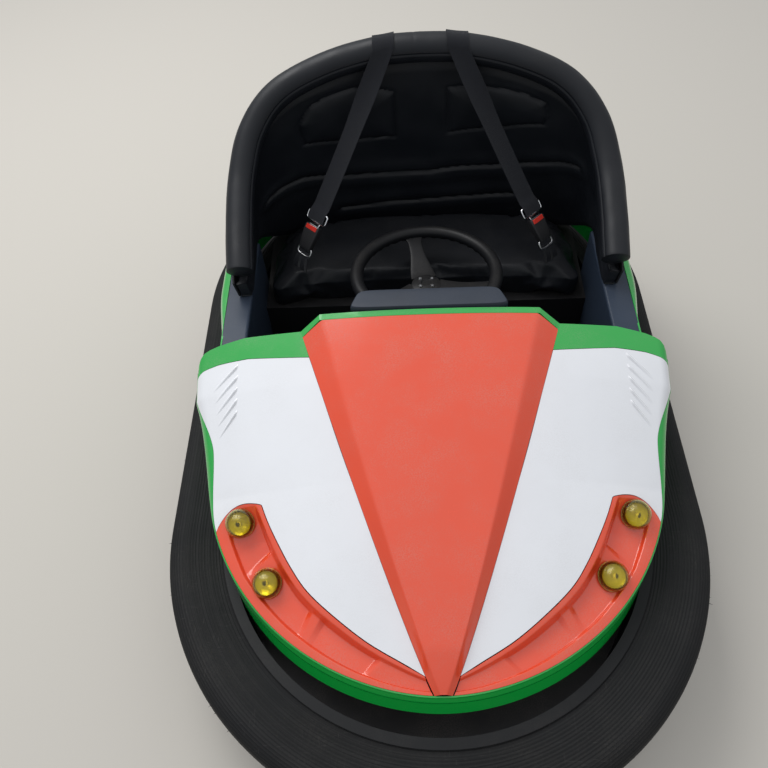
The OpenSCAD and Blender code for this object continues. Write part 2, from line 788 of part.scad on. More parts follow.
rear_axle_z = rear_wheel_d / 2;
bracket_in = rear_wheel_w / 2 + wheel_gap;
module rear_bracket(side) {
    color([0.15, 0.15, 0.16])
        translate([side * rear_track / 2, rear_axle_y, 0]) {
            translate([-bracket_in - bracket_plate - 12, -50, floor_bottom - bracket_plate])
                cube([2 * (bracket_in + bracket_plate + 12), 100, bracket_plate]);
            for (k = [-1, 1])
                translate([k * (bracket_in + bracket_plate / 2) - bracket_plate / 2, 0, 0])
                    rotate([90, 0, 90])
                        linear_extrude(bracket_plate)
                            difference() {
                                polygon([[-40, floor_bottom - bracket_plate], [-22, rear_axle_z - 22],
                                         [22, rear_axle_z - 22], [40, floor_bottom - bracket_plate]]);
                            }
            translate([-bracket_in - bracket_plate - 8, 0, rear_axle_z])
                rotate([0, 90, 0])
                    cylinder(h = 2 * (bracket_in + bracket_plate + 8), r = rear_axle_r);
        }
}

module rear_wheel(side) {
    color([0.12, 0.12, 0.12])
        translate([side * rear_track / 2, rear_axle_y, rear_axle_z])
            rotate([0, 90, 0])
                difference() {
                    union() {
                        cylinder(h = rear_wheel_w, d = rear_wheel_d, center = true);
                        cylinder(h = rear_wheel_w + 8, d = 40, center = true);
                    }
                    cylinder(h = rear_wheel_w + 20, r = rear_axle_r + 0.05, center = true);
                }
}

drive_axle_z = drive_tyre_d / 2;
cheek_in = drive_tyre_w / 2 + fork_gap;
crown_z = drive_tyre_d + 8;
module drive_fork() {
    color([0.3, 0.3, 0.32])
        translate([0, drive_y, 0]) {
            translate([-cheek_in - fork_plate, -50, crown_z])
                cube([2 * (cheek_in + fork_plate), 100, fork_plate]);
            for (k = [-1, 1])
                translate([k * (cheek_in + fork_plate / 2) - fork_plate / 2, 0, 0])
                    rotate([90, 0, 90])
                        linear_extrude(fork_plate)
                            polygon([[-50, crown_z + 1], [-30, drive_axle_z - 30],
                                     [30, drive_axle_z - 30], [50, crown_z + 1]]);
            translate([-cheek_in - fork_plate - 6, 0, drive_axle_z])
                rotate([0, 90, 0])
                    cylinder(h = 2 * (cheek_in + fork_plate) + 6, r = drive_axle_r);
            translate([0, 0, crown_z + fork_plate - 1])
                cylinder(h = well_top + 26 - crown_z - fork_plate + 1, r = kingpost_r);
            translate([0, 0, crown_z + fork_plate - 1])
                cylinder(h = well_top - 24 - 0.5 - crown_z - fork_plate + 1, r = kingpost_r + 18);
            translate([0, 0, well_top + 0.5])
                cylinder(h = 12, r = kingpost_r + 14);
        }
}

module drive_motor() {
    color([0.25, 0.25, 0.27])
        translate([cheek_in + fork_plate, drive_y, drive_axle_z])
            rotate([0, 90, 0])
                cylinder(h = motor_l, d = motor_d);
}

module drive_hub() {
    color([0.5, 0.5, 0.52])
        translate([0, drive_y, drive_axle_z])
            rotate([0, 90, 0])
                difference() {
                    cylinder(h = drive_tyre_w, d = drive_hub_d, center = true);
                    cylinder(h = drive_tyre_w + 2, r = drive_axle_r + 0.05, center = true);
                }
}

module drive_tyre() {
    color([0.05, 0.05, 0.05])
        translate([0, drive_y, drive_axle_z])
            rotate([0, 90, 0])
                rotate_extrude()
                    translate([drive_hub_d / 2, -drive_tyre_w / 2])
                        round_rect((drive_tyre_d - drive_hub_d) / 2, drive_tyre_w, 14);
}

module steering_wheel() {
    color([0.05, 0.05, 0.05])
        on_column() {
            rotate_extrude()
                translate([wheel_r, 0])
                    circle(wheel_grip_r, $fn = 32);
            translate([0, 0, -wheel_dish - 12])
                cylinder(h = 24, r = 34);
            for (a = [-30, 90, 210])
                rotate([0, 0, a])
                    rotate([0, -atan2(wheel_dish, wheel_r), 0])
                        translate([10, -14, -wheel_dish - 3])
                            cube([wheel_r - 4, 28, 6]);
        }
}

module steering_shaft() {
    color([0.6, 0.6, 0.6])
        on_column()
            translate([0, 0, -column_foot_l - 14])
                cylinder(h = column_foot_l + 14 - wheel_dish - 12, r = shaft_r);
}

bumper_rim();
bumper_tyre();
floor_plate();
drive_well();
chain_case();
column_tube();
dash_bracket();
nose_band();
fender(-1);  // fender_left
fender(1);  // fender_right
cowl_strip();
hood_wedge();
bezel(-1);  // bezel_left
bezel(1);  // bezel_right
lamp_bases();
lamp_domes();
rear_body();
sill(-1);  // sill_left
sill(1);  // sill_right
seat_base();
seat_cushion();
back_shell();
back_pad();
back_roll();
dash_pad();
battery();
pedal();
belt(-1);  // belt_left
belt(1);  // belt_right
buckle(-1);  // buckle_left
buckle(1);  // buckle_right
belt_tongues();
belt_stubs();
rear_bracket(-1);  // rear_bracket_left
rear_bracket(1);  // rear_bracket_right
steering_wheel();
steering_shaft();
drive_fork();
drive_motor();
drive_hub();
drive_tyre();
rear_wheel(-1);  // rear_wheel_left
rear_wheel(1);  // rear_wheel_right
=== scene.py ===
# %% [markdown]
# The object is a two-seat fairground bumper car. Its looks are built round the imported CAD model, which
# fixes every size and place. This cell loads that model, keeps its box, and starts a plain scene.

# %% Load the frame
import json
import math

import bpy
import numpy as np
from mathutils import Matrix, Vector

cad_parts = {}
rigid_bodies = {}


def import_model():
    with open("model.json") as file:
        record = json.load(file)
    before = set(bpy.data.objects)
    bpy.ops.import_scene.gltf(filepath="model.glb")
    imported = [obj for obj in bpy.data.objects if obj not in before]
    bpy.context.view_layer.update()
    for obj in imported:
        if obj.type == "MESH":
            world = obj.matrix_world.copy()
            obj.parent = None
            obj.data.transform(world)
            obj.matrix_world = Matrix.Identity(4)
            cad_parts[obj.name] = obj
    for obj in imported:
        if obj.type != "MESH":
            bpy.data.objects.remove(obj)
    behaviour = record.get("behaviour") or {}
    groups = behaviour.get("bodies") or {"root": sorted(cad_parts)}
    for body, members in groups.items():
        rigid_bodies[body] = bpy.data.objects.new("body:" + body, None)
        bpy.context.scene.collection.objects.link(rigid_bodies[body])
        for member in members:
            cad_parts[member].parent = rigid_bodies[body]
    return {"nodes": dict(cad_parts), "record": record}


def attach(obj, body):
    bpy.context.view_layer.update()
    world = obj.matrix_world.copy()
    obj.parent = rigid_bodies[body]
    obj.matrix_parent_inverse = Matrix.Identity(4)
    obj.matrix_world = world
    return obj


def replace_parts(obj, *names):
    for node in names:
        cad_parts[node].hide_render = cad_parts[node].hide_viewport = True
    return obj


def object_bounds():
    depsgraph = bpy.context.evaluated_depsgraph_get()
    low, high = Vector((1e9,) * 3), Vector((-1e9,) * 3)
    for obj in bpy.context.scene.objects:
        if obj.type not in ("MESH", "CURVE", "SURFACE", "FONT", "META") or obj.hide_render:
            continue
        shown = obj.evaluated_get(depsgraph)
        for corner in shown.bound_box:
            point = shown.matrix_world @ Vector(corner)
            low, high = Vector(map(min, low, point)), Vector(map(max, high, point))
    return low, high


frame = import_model()
cad_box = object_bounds()
cad = frame["nodes"]
print("CAD nodes:", len(cad), "box:", [[round(c, 3) for c in corner] for corner in cad_box])

# %% [markdown]
# The photograph looks down on the nose from above and in front. A camera could be placed by eye, but one
# fitted as a place, three angles and a focal length makes every later comparison mean something. Its
# forward axis follows from pitch and yaw, and the roll then turns the picture's axes about it.

# %% Camera
PHOTO_PIXELS = 768
FOCAL_PIXELS = 748.06
CAMERA_PLACE = np.array([-0.044, -1.018, 1.765])
PITCH, YAW, ROLL = np.radians([54.537, -3.421, -4.470])
SENSOR_MM = 36.0


def camera_axes(pitch, yaw, roll):
    """Right, up and forward, which is (sin yaw cos pitch, cos yaw cos pitch, -sin pitch), turned by roll."""
    forward = np.array([math.sin(yaw) * math.cos(pitch), math.cos(yaw) * math.cos(pitch), -math.sin(pitch)])
    level = np.array([math.cos(yaw), -math.sin(yaw), 0.0])
    up = np.cross(level, forward)
    right = level * math.cos(roll) + up * math.sin(roll)
    return right, np.cross(right, forward), forward


def add_camera():
    """Puts the camera where the photograph was taken, with its focal length, and makes it the scene's own."""
    right, up, forward = camera_axes(PITCH, YAW, ROLL)
    lens = bpy.data.cameras.new("camera")
    lens.sensor_width = SENSOR_MM
    lens.lens = SENSOR_MM * FOCAL_PIXELS / PHOTO_PIXELS
    eye = bpy.data.objects.new("camera", lens)
    place = np.eye(4)
    place[:3] = np.stack([right, up, -forward, CAMERA_PLACE], axis=1)
    eye.matrix_world = Matrix(place.tolist())
    bpy.context.scene.collection.objects.link(eye)
    bpy.context.scene.camera = eye
    return lens


lens = add_camera()
bpy.context.scene.view_settings.view_transform = "Standard"
print("lens", round(lens.lens, 2), "mm")

# %% [markdown]
# Glossy paint shows its surroundings, so the light matters as much as the colour. A picture of a sky would
# bring in things that aren't the object's. So a wide soft sky, brighter overhead, lights the car from all
# round, one large lamp gives shadows a direction, and the floor is plain and pale.

# %% Floor, sky and lamps
FLOOR_COLOUR = (0.56, 0.53, 0.48, 1)
SKY_HIGH = (0.95, 0.97, 1.0, 1)
SKY_LOW = (0.42, 0.44, 0.46, 1)
SKY_STRENGTH = 0.88
KEY_PLACE, KEY_AIM, KEY_SIZE, KEY_POWER = (-1.6, 1.6, 3.6), (0, 0, 0.3), 2.4, 92
FLOOR_HALF, FLOOR_ROUGH = 7.0, 0.9


def connect(tree, out, into):
    """Joins one node's output to another's input."""
    tree.links.new(out, into)


def add_node(tree, kind, values=(), **settings):
    """A node of that kind, with settings on the node and values on its input sockets."""
    node = tree.nodes.new(kind)
    for name, value in settings.items():
        setattr(node, name, value)
    for name, value in dict(values).items():
        node.inputs[name].default_value = value
    return node


def add_sky():
    """Background colour that rises from the horizon's to the zenith's with the direction's height."""
    world = bpy.data.worlds.new("sky")
    world.use_nodes = True
    bpy.context.scene.world = world
    tree = world.node_tree
    tree.nodes.clear()
    where = add_node(tree, "ShaderNodeTexCoord")
    split = add_node(tree, "ShaderNodeSeparateXYZ")
    ramp = add_node(tree, "ShaderNodeValToRGB")
    ramp.color_ramp.elements[0].position = 0.1
    ramp.color_ramp.elements[0].color = SKY_LOW
    ramp.color_ramp.elements[1].position = 0.95
    ramp.color_ramp.elements[1].color = SKY_HIGH
    light = add_node(tree, "ShaderNodeBackground", {"Strength": SKY_STRENGTH})
    out = add_node(tree, "ShaderNodeOutputWorld")
    connect(tree, where.outputs["Generated"], split.inputs[0])
    connect(tree, split.outputs["Z"], ramp.inputs["Fac"])
    connect(tree, ramp.outputs["Color"], light.inputs["Color"])
    connect(tree, light.outputs[0], out.inputs[0])


def add_lamp(name, place, aim, size, power):
    """A square soft lamp at a place, turned to an aim."""
    lamp = bpy.data.lights.new(name, "AREA")
    lamp.size = size
    lamp.energy = power
    holder = bpy.data.objects.new(name, lamp)
    away = np.array(place) - np.array(aim)
    away = away / np.linalg.norm(away)
    side = np.cross([0, 1, 0.01], away)
    side = side / np.linalg.norm(side)
    pose = np.eye(4)
    pose[:3] = np.stack([side, np.cross(away, side), away, np.array(place)], axis=1)
    holder.matrix_world = Matrix(pose.tolist())
    bpy.context.scene.collection.objects.link(holder)


def add_floor():
    """One flat square under the car."""
    mesh = bpy.data.meshes.new("floor")
    half = FLOOR_HALF
    corners = [(-half, -half, 0), (half, -half, 0), (half, half, 0), (-half, half, 0)]
    mesh.from_pydata(corners, [], [(0, 1, 2, 3)])
    floor = bpy.data.objects.new("floor", mesh)
    bpy.context.scene.collection.objects.link(floor)
    paint = bpy.data.materials.new("floor")
    paint.use_nodes = True
    shader = paint.node_tree.nodes["Principled BSDF"]
    shader.inputs["Base Color"].default_value = FLOOR_COLOUR
    shader.inputs["Roughness"].default_value = FLOOR_ROUGH
    mesh.materials.append(paint)


add_sky()
add_lamp("key", KEY_PLACE, KEY_AIM, KEY_SIZE, KEY_POWER)
add_floor()
print("floor, sky and one lamp")

# %% [markdown]
# Dust, scuffs, grain and weave show on several of the car's pieces. They could be painted on each, but a
# node group is made once and fits them all: it gives a mask or a height that changes over the surface, and
# every material sets its own strengths. Dust gathers where the surface faces up, so its mask is the upward
# share of the normal times a soft noise.

# %% Shared effects


def new_group(name, inputs, outputs):
    """An empty shader group with float inputs {name: default} and named outputs, and its two end nodes."""
    group = bpy.data.node_groups.new(name, "ShaderNodeTree")
    for label, value in inputs.items():
        socket = group.interface.new_socket(label, in_out="INPUT", socket_type="NodeSocketFloat")
        socket.default_value = value
    for label in outputs:
        group.interface.new_socket(label, in_out="OUTPUT", socket_type="NodeSocketFloat")
    return group, group.nodes.new("NodeGroupInput"), group.nodes.new("NodeGroupOutput")


def noise(tree, where, scale, detail=3.0, rough=0.5):
    """Soft noise on the given coordinates; scale is in waves a metre."""
    node = add_node(tree, "ShaderNodeTexNoise", {"Scale": scale, "Detail": detail, "Roughness": rough})
    connect(tree, where, node.inputs["Vector"])
    return node.outputs["Fac"]


def maths(tree, operation, a, b=0.0, clamp=False):
    """One Math node; a and b are sockets or numbers."""
    node = add_node(tree, "ShaderNodeMath", operation=operation, use_clamp=clamp)
    for socket, value in zip(node.inputs, (a, b)):
        if isinstance(value, (int, float)):
            socket.default_value = value
        else:
            connect(tree, value, socket)
    return node.outputs[0]


def between(tree, value, low, high):
    """The share of the way from low to high, clamped to 0 and 1 and smoothed."""
    ends = {"From Min": low, "From Max": high}
    node = add_node(tree, "ShaderNodeMapRange", ends, interpolation_type="SMOOTHSTEP")
    connect(tree, value, node.inputs["Value"])
    return node.outputs["Result"]


print("node helpers ready")

# %% Dust and scuffs


def make_dust():
    """Mask = amount x up^2 x patchy noise, plus a thin even film."""
    tree, given, put = new_group("dust", {"Amount": 0.5, "Scale": 9.0}, ["Mask"])
    where = add_node(tree, "ShaderNodeTexCoord")
    split = add_node(tree, "ShaderNodeSeparateXYZ")
    connect(tree, where.outputs["Normal"], split.inputs[0])
    up = maths(tree, "POWER", maths(tree, "MAXIMUM", split.outputs["Z"], 0.0), 2.0)
    patch = add_node(tree, "ShaderNodeTexNoise", {"Detail": 6.0, "Roughness": 0.65})
    connect(tree, where.outputs["Object"], patch.inputs["Vector"])
    connect(tree, given.outputs["Scale"], patch.inputs["Scale"])
    speck = noise(tree, where.outputs["Object"], 420.0, 2.0)
    patches = between(tree, patch.outputs["Fac"], 0.35, 0.72)
    cover = maths(tree, "MULTIPLY", patches, between(tree, speck, 0.3, 0.7))
    film = maths(tree, "ADD", maths(tree, "MULTIPLY", cover, 0.8), 0.2)
    mask = maths(tree, "MULTIPLY", maths(tree, "MULTIPLY", up, film), given.outputs["Amount"], clamp=True)
    connect(tree, mask, put.inputs["Mask"])
    return tree


def make_scuffs():
    """Mask of short fine scratches: a noise stretched along one slanting direction, cut to its crests."""
    tree, given, put = new_group("scuffs", {"Amount": 0.3, "Scale": 60.0}, ["Mask"])
    where = add_node(tree, "ShaderNodeTexCoord")
    masks = []
    for turn, stretch in ((0.5, (1.0, 14.0, 1.0)), (2.1, (11.0, 1.0, 2.0))):
        turned = add_node(tree, "ShaderNodeMapping", {"Rotation": (0.2, 0.1, turn), "Scale": stretch})
        connect(tree, where.outputs["Object"], turned.inputs["Vector"])
        lines = add_node(tree, "ShaderNodeTexNoise", {"Detail": 2.0, "Roughness": 0.5})
        connect(tree, turned.outputs[0], lines.inputs["Vector"])
        connect(tree, given.outputs["Scale"], lines.inputs["Scale"])
        masks.append(between(tree, lines.outputs["Fac"], 0.66, 0.72))
    both = maths(tree, "ADD", masks[0], masks[1], clamp=True)
    patch = between(tree, noise(tree, where.outputs["Object"], 6.0), 0.45, 0.65)
    worn = maths(tree, "MULTIPLY", both, patch)
    connect(tree, maths(tree, "MULTIPLY", worn, given.outputs["Amount"], clamp=True), put.inputs["Mask"])
    return tree


print("dust and scuffs ready")

# %% Grain and weave


def make_grain():
    """Height of pebbled grain, rounded cells with finer noise on them, and Tone, a slow noise for colour."""
    tree, given, put = new_group("grain", {"Scale": 600.0}, ["Height", "Tone"])
    where = add_node(tree, "ShaderNodeTexCoord")
    cells = add_node(tree, "ShaderNodeTexVoronoi", {"Randomness": 1.0}, feature="SMOOTH_F1")
    connect(tree, where.outputs["Object"], cells.inputs["Vector"])
    connect(tree, given.outputs["Scale"], cells.inputs["Scale"])
    fine = noise(tree, where.outputs["Object"], 1400.0, 2.0)
    height = maths(tree, "SUBTRACT", 1.0, cells.outputs["Distance"])
    connect(tree, maths(tree, "ADD", height, maths(tree, "MULTIPLY", fine, 0.3)), put.inputs["Height"])
    connect(tree, noise(tree, where.outputs["Object"], 14.0, 4.0), put.inputs["Tone"])
    return tree


def make_weave():
    """Height of a ribbed webbing on the piece's UV map, where U runs across and V along, both in metres, and
    Shade, that height again as painted shade.
    """
    tree, given, put = new_group("weave", {"Pitch": 0.0016}, ["Height", "Shade"])
    where = add_node(tree, "ShaderNodeUVMap")
    split = add_node(tree, "ShaderNodeSeparateXYZ")
    connect(tree, where.outputs[0], split.inputs[0])
    turns = maths(tree, "DIVIDE", 2 * math.pi, given.outputs["Pitch"])
    across = maths(tree, "MULTIPLY", split.outputs["X"], turns)
    along = maths(tree, "MULTIPLY", split.outputs["Y"], turns)
    zig = maths(tree, "ABSOLUTE", maths(tree, "SINE", maths(tree, "MULTIPLY", across, 0.25)))
    rib = maths(tree, "SINE", maths(tree, "ADD", along, maths(tree, "MULTIPLY", zig, 4.0)))
    warp = maths(tree, "SINE", across)
    height = maths(tree, "ADD", maths(tree, "MULTIPLY", rib, 0.6), maths(tree, "MULTIPLY", warp, 0.4))
    connect(tree, height, put.inputs["Height"])
    # Shade is painted shade: low in the weave's grooves, high on its ribs
    connect(tree, between(tree, height, -1.0, 1.0), put.inputs["Shade"])
    return tree


DUST, SCUFFS, GRAIN, WEAVE = make_dust(), make_scuffs(), make_grain(), make_weave()
print("shared effects:", [g.name for g in (DUST, SCUFFS, GRAIN, WEAVE)])

# %% [markdown]
# The car is gelcoat, vinyl, rubber, moulded plastic, plated metal, webbing and amber lenses. Each is one
# Principled shader, because it holds all of them. Its steady values sit on its own sockets, and what
# changes over the surface is mixed in before it: dust and scuffs over colour and roughness, grain or weave
# into a bump.

# %% Finishes
DUST_COLOUR = (0.36, 0.32, 0.27, 1)
RUBBER_SCUFF = (0.05, 0.048, 0.046, 1)
GRAIN_DEPTH = 0.00012
RUST_COLOUR = (0.12, 0.045, 0.02, 1)


def use(tree, group, **values):
    """Places a shared effect with its own values and returns its outputs."""
    node = add_node(tree, "ShaderNodeGroup")
    node.node_tree = group
    for label, value in values.items():
        node.inputs[label].default_value = value
    return node.outputs


def mix(tree, share, a, b, kind="RGBA"):
    """a where share is 0 and b where it is 1; a and b are sockets, colours or numbers."""
    node = add_node(tree, "ShaderNodeMix", data_type=kind)
    wanted = "RGBA" if kind == "RGBA" else "VALUE"
    ends = [socket for socket in node.inputs if socket.type == wanted and socket.name in ("A", "B")]
    for socket, value in zip([node.inputs[0]] + ends, (share, a, b)):
        if isinstance(value, (int, float, tuple)):
            socket.default_value = value
        else:
            connect(tree, value, socket)
    return next(socket for socket in node.outputs if socket.type == wanted)


def new_finish(name, **steady):
    """A material, its node tree and its Principled shader with the steady values set."""
    material = bpy.data.materials.new(name)
    material.use_nodes = True
    tree = material.node_tree
    shader = tree.nodes["Principled BSDF"]
    for label, value in steady.items():
        shader.inputs[label.replace("_", " ")].default_value = value
    return material, tree, shader


def tint(colour, factor):
    """The colour times a factor, with full alpha."""
    return tuple(min(1.0, c * factor) for c in colour[:3]) + (1,)


def mottle(tree, share, colour, low, high):
    """The colour, low times as bright where share is 0 and high times where it is 1."""
    return mix(tree, share, tint(colour, low), tint(colour, high))


def bump(tree, shader, height, distance, strength=1.0):
    """Feeds a height through a Bump node into the shader's normal; distance is in metres."""
    node = add_node(tree, "ShaderNodeBump", {"Distance": distance, "Strength": strength})
    connect(tree, height, node.inputs["Height"])
    connect(tree, node.outputs[0], shader.inputs["Normal"])


print("dust colour", DUST_COLOUR[:3])

# %% Paint, vinyl, rubber and plastic


def paint(name, colour, rough=0.16, coat=1.0, dust=0.25, scuffs=0.25, gloss=0.5):
    """Glossy paint or gelcoat: a slightly mottled colour, fine scuffs, dust, and a faint wave in it."""
    material, tree, shader = new_finish(name, Coat_Weight=coat, Coat_Roughness=0.04, IOR=1.5,
                                         Specular_IOR_Level=gloss)
    where = add_node(tree, "ShaderNodeTexCoord").outputs["Object"]
    cloud = noise(tree, where, 5.0, 4.0)
    marks = use(tree, SCUFFS, Amount=scuffs)["Mask"]
    film = use(tree, DUST, Amount=dust)["Mask"]
    base = mottle(tree, cloud, colour, 0.93, 1.05)
    worn = mix(tree, marks, base, tint(colour, 1.25))
    connect(tree, mix(tree, film, worn, DUST_COLOUR), shader.inputs["Base Color"])
    rougher = mix(tree, maths(tree, "MAXIMUM", marks, film), rough, 0.6, "FLOAT")
    connect(tree, rougher, shader.inputs["Roughness"])
    bump(tree, shader, noise(tree, where, 3.0, 1.0), 0.0024, 0.6)
    return material


def vinyl(name, colour):
    """Grained vinyl: pebbled cells in the bump, uneven gloss where it is handled, and a little dust."""
    material, tree, shader = new_finish(name, IOR=1.5, Specular_IOR_Level=0.28)
    cells = use(tree, GRAIN, Scale=520.0)
    film = use(tree, DUST, Amount=0.04)["Mask"]
    base = mottle(tree, cells["Tone"], colour, 0.8, 1.2)
    connect(tree, mix(tree, film, base, DUST_COLOUR), shader.inputs["Base Color"])
    handled = between(tree, cells["Tone"], 0.3, 0.7)
    connect(tree, mix(tree, handled, 0.36, 0.52, "FLOAT"), shader.inputs["Roughness"])
    bump(tree, shader, cells["Height"], GRAIN_DEPTH)
    return material


def rubber(name, colour, dust):
    """Moulded rubber: dull, with a fine tooth and settled dust."""
    material, tree, shader = new_finish(name, IOR=1.45, Specular_IOR_Level=0.2)
    where = add_node(tree, "ShaderNodeTexCoord").outputs["Object"]
    film = use(tree, DUST, Amount=dust, Scale=5.0)["Mask"]
    marks = use(tree, SCUFFS, Amount=0.5, Scale=35.0)["Mask"]
    base = mix(tree, marks, mottle(tree, noise(tree, where, 8.0, 5.0), colour, 0.7, 1.4), RUBBER_SCUFF)
    connect(tree, mix(tree, film, base, DUST_COLOUR), shader.inputs["Base Color"])
    connect(tree, mix(tree, film, 0.62, 0.95, "FLOAT"), shader.inputs["Roughness"])
    bump(tree, shader, noise(tree, where, 700.0, 3.0), 0.0002, 0.7)
    return material


def plastic(name, colour, rough=0.4):
    """Moulded plastic: an even colour, a fine spark-eroded tooth and soft scuffs."""
    material, tree, shader = new_finish(name, IOR=1.46, Specular_IOR_Level=0.25)
    where = add_node(tree, "ShaderNodeTexCoord").outputs["Object"]
    marks = use(tree, SCUFFS, Amount=0.3)["Mask"]
    film = use(tree, DUST, Amount=0.06)["Mask"]
    even = mottle(tree, noise(tree, where, 10.0), colour, 0.9, 1.1)
    base = mix(tree, marks, even, tint(colour, 2.2))
    connect(tree, mix(tree, film, base, DUST_COLOUR), shader.inputs["Base Color"])
    connect(tree, mix(tree, marks, rough, rough + 0.25, "FLOAT"), shader.inputs["Roughness"])
    bump(tree, shader, noise(tree, where, 900.0, 2.0), 0.00008, 0.6)
    return material


print("vinyl grain", round(GRAIN_DEPTH * 1000, 2), "mm deep")

# %% Metal, webbing and lens


def metal(name, colour, rough=0.3, rust=0.0):
    """Bare or plated metal: brushed lines stretched along the piece, with brown specks where it rusts."""
    material, tree, shader = new_finish(name, Metallic=1.0)
    where = add_node(tree, "ShaderNodeTexCoord").outputs["Object"]
    turned = add_node(tree, "ShaderNodeMapping", {"Scale": (1.0, 1.0, 40.0)})
    connect(tree, where, turned.inputs["Vector"])
    lines = noise(tree, turned.outputs[0], 50.0, 3.0)
    spots = maths(tree, "MULTIPLY", between(tree, noise(tree, where, 60.0, 6.0, 0.7), 0.58, 0.7), rust)
    base = mottle(tree, lines, colour, 0.85, 1.1)
    connect(tree, mix(tree, spots, base, RUST_COLOUR), shader.inputs["Base Color"])
    connect(tree, mix(tree, lines, rough * 0.7, rough * 1.3, "FLOAT"), shader.inputs["Roughness"])
    bump(tree, shader, lines, 0.00001, 0.5)
    return material


def webbing(name, colour):
    """Woven belt: ribs on the strip's own UV map, darker between them as painted shade and lighter on them as
    painted highlight.
    """
    material, tree, shader = new_finish(name, Roughness=0.75, Specular_IOR_Level=0.2, Sheen_Weight=0.12,
                                         Sheen_Roughness=0.4)
    threads = use(tree, WEAVE)
    # Painted shade and highlight: the colour falls to half in the grooves and rises by half on the ribs
    colour_with_painted_shade = mottle(tree, threads["Shade"], colour, 0.5, 1.5)
    connect(tree, colour_with_painted_shade, shader.inputs["Base Color"])
    bump(tree, shader, threads["Height"], 0.0003)
    return material


def glass(name, colour, rough=0.08):
    """Amber lens: coloured clear plastic."""
    return new_finish(name, Base_Color=colour, Roughness=rough, IOR=1.49, Transmission_Weight=1.0)[0]


print("makers of finishes ready")

# %% Finishes of the car
# How it is made, its colour, and what differs from the usual
LOOKS = {
    "orange_gelcoat": (paint, (0.80, 0.064, 0.016), dict(coat=0.6)),
    "white_gelcoat": (paint, (0.80, 0.81, 0.84), dict(scuffs=0.1, dust=0.12, coat=0.5)),
    "green_gelcoat": (paint, (0.004, 0.38, 0.050), dict(coat=0.5)),
    "rim_steel": (paint, (0.007, 0.0075, 0.009), dict(rough=0.5, coat=0.0, dust=0.03, scuffs=0.2, gloss=0.2)),
    "chassis_steel": (paint, (0.03, 0.03, 0.033), dict(rough=0.4, coat=0.0, dust=0.2, scuffs=0.4, gloss=0.3)),
    "bumper_rubber": (rubber, (0.008, 0.0085, 0.0095), dict(dust=0.05)),
    "wheel_rubber": (rubber, (0.025, 0.025, 0.026), dict(dust=0.3)),
    "black_vinyl": (vinyl, (0.009, 0.0105, 0.014), dict()),
    "dash_vinyl": (vinyl, (0.028, 0.036, 0.052), dict()),
    "sill_plastic": (plastic, (0.030, 0.043, 0.068), dict(rough=0.35)),
    "liner_plastic": (plastic, (0.014, 0.014, 0.016), dict(rough=0.5)),
    "lamp_base_plastic": (plastic, (0.03, 0.03, 0.03), dict()),
    "battery_case": (plastic, (0.04, 0.04, 0.043), dict()),
    "buckle_plastic": (plastic, (0.018, 0.018, 0.020), dict(rough=0.45)),
    "wheel_foam": (plastic, (0.007, 0.0075, 0.009), dict(rough=0.4)),
    "amber_lens": (glass, (0.93, 0.80, 0.16, 1), dict(rough=0.16)),
    "lamp_mirror": (metal, (0.62, 0.62, 0.50), dict(rough=0.35)),
    "lamp_bulb": (glass, (1.0, 0.95, 0.8, 1), dict()),
    "button_plastic": (plastic, (0.55, 0.03, 0.02), dict(rough=0.35)),
    "stitch_thread": (plastic, (0.020, 0.022, 0.027), dict(rough=0.6)),
    "belt_webbing": (webbing, (0.011, 0.012, 0.016), dict()),
    "belt_chrome": (metal, (0.85, 0.86, 0.88), dict(rough=0.12)),
    "pedal_steel": (metal, (0.35, 0.35, 0.36), dict(rough=0.45, rust=0.4)),
    "bright_steel": (metal, (0.55, 0.55, 0.56), dict(rough=0.3)),
    "drive_casting": (paint, (0.05, 0.052, 0.055), dict(rough=0.5, coat=0.0, dust=0.5)),
    "motor_case": (paint, (0.04, 0.042, 0.045), dict(rough=0.4, coat=0.0, dust=0.5)),
}
finish = {name: make(name, colour, **more) for name, (make, colour, more) in LOOKS.items()}

slots = {part["node"]: part["material_slot"] for part in frame["record"]["subparts"]}
for name, piece in cad.items():
    for holder in piece.material_slots:
        holder.material = finish[slots[name]]
print("finishes:", len(finish), "on", len(slots), "nodes")

# %% [markdown]
# The painted body is glass fibre from a mould, one smooth shape. It could be modelled as a control mesh,
# but formulas let every panel lie on the same surface. The plan narrows from the widest place to the nose
# as a rounded power curve, the middle line climbs from nose to dash as another, and the surface between
# falls from the middle to the edge with the 2.2th power of the distance. The last few millimetres turn over
# a rounded shoulder.

# %% Sizes of the body
# Metres; heights are above the ground
HALF_LENGTH = float(cad_box[1][1])
NOSE_REACH = HALF_LENGTH - 0.192
TAIL_REACH = HALF_LENGTH - 0.170
LIP_REACH = NOSE_REACH - 0.007
COWL_HALF_W = 0.500
BODY_HALF_W = 0.482
WIDEST_Y = -0.184 * NOSE_REACH
SHOULDER_Y = -0.466 * NOSE_REACH
CORNER_Y = -0.113 * NOSE_REACH
SPLIT_Y = -0.030
NOSE_Z, DASH_Z = 0.337, 0.577
LIP_Z, SHOULDER_FRONT_Z, SHOULDER_REAR_Z = 0.342, 0.398, 0.500
SHOULDER_R = 0.026
BODY_BOTTOM = 0.296
SILL_Z = 0.486
SILL_IN = 0.402
EDGE = 0.003
GAP = 0.0006
WEDGE_TIP_W, WEDGE_REAR_W, WEDGE_RISE, WEDGE_BEVEL = 0.014, 0.276, 0.020, 0.049
WEDGE_FLAT = 1 - WEDGE_BEVEL / WEDGE_REAR_W
STRIP_OVER = 0.012
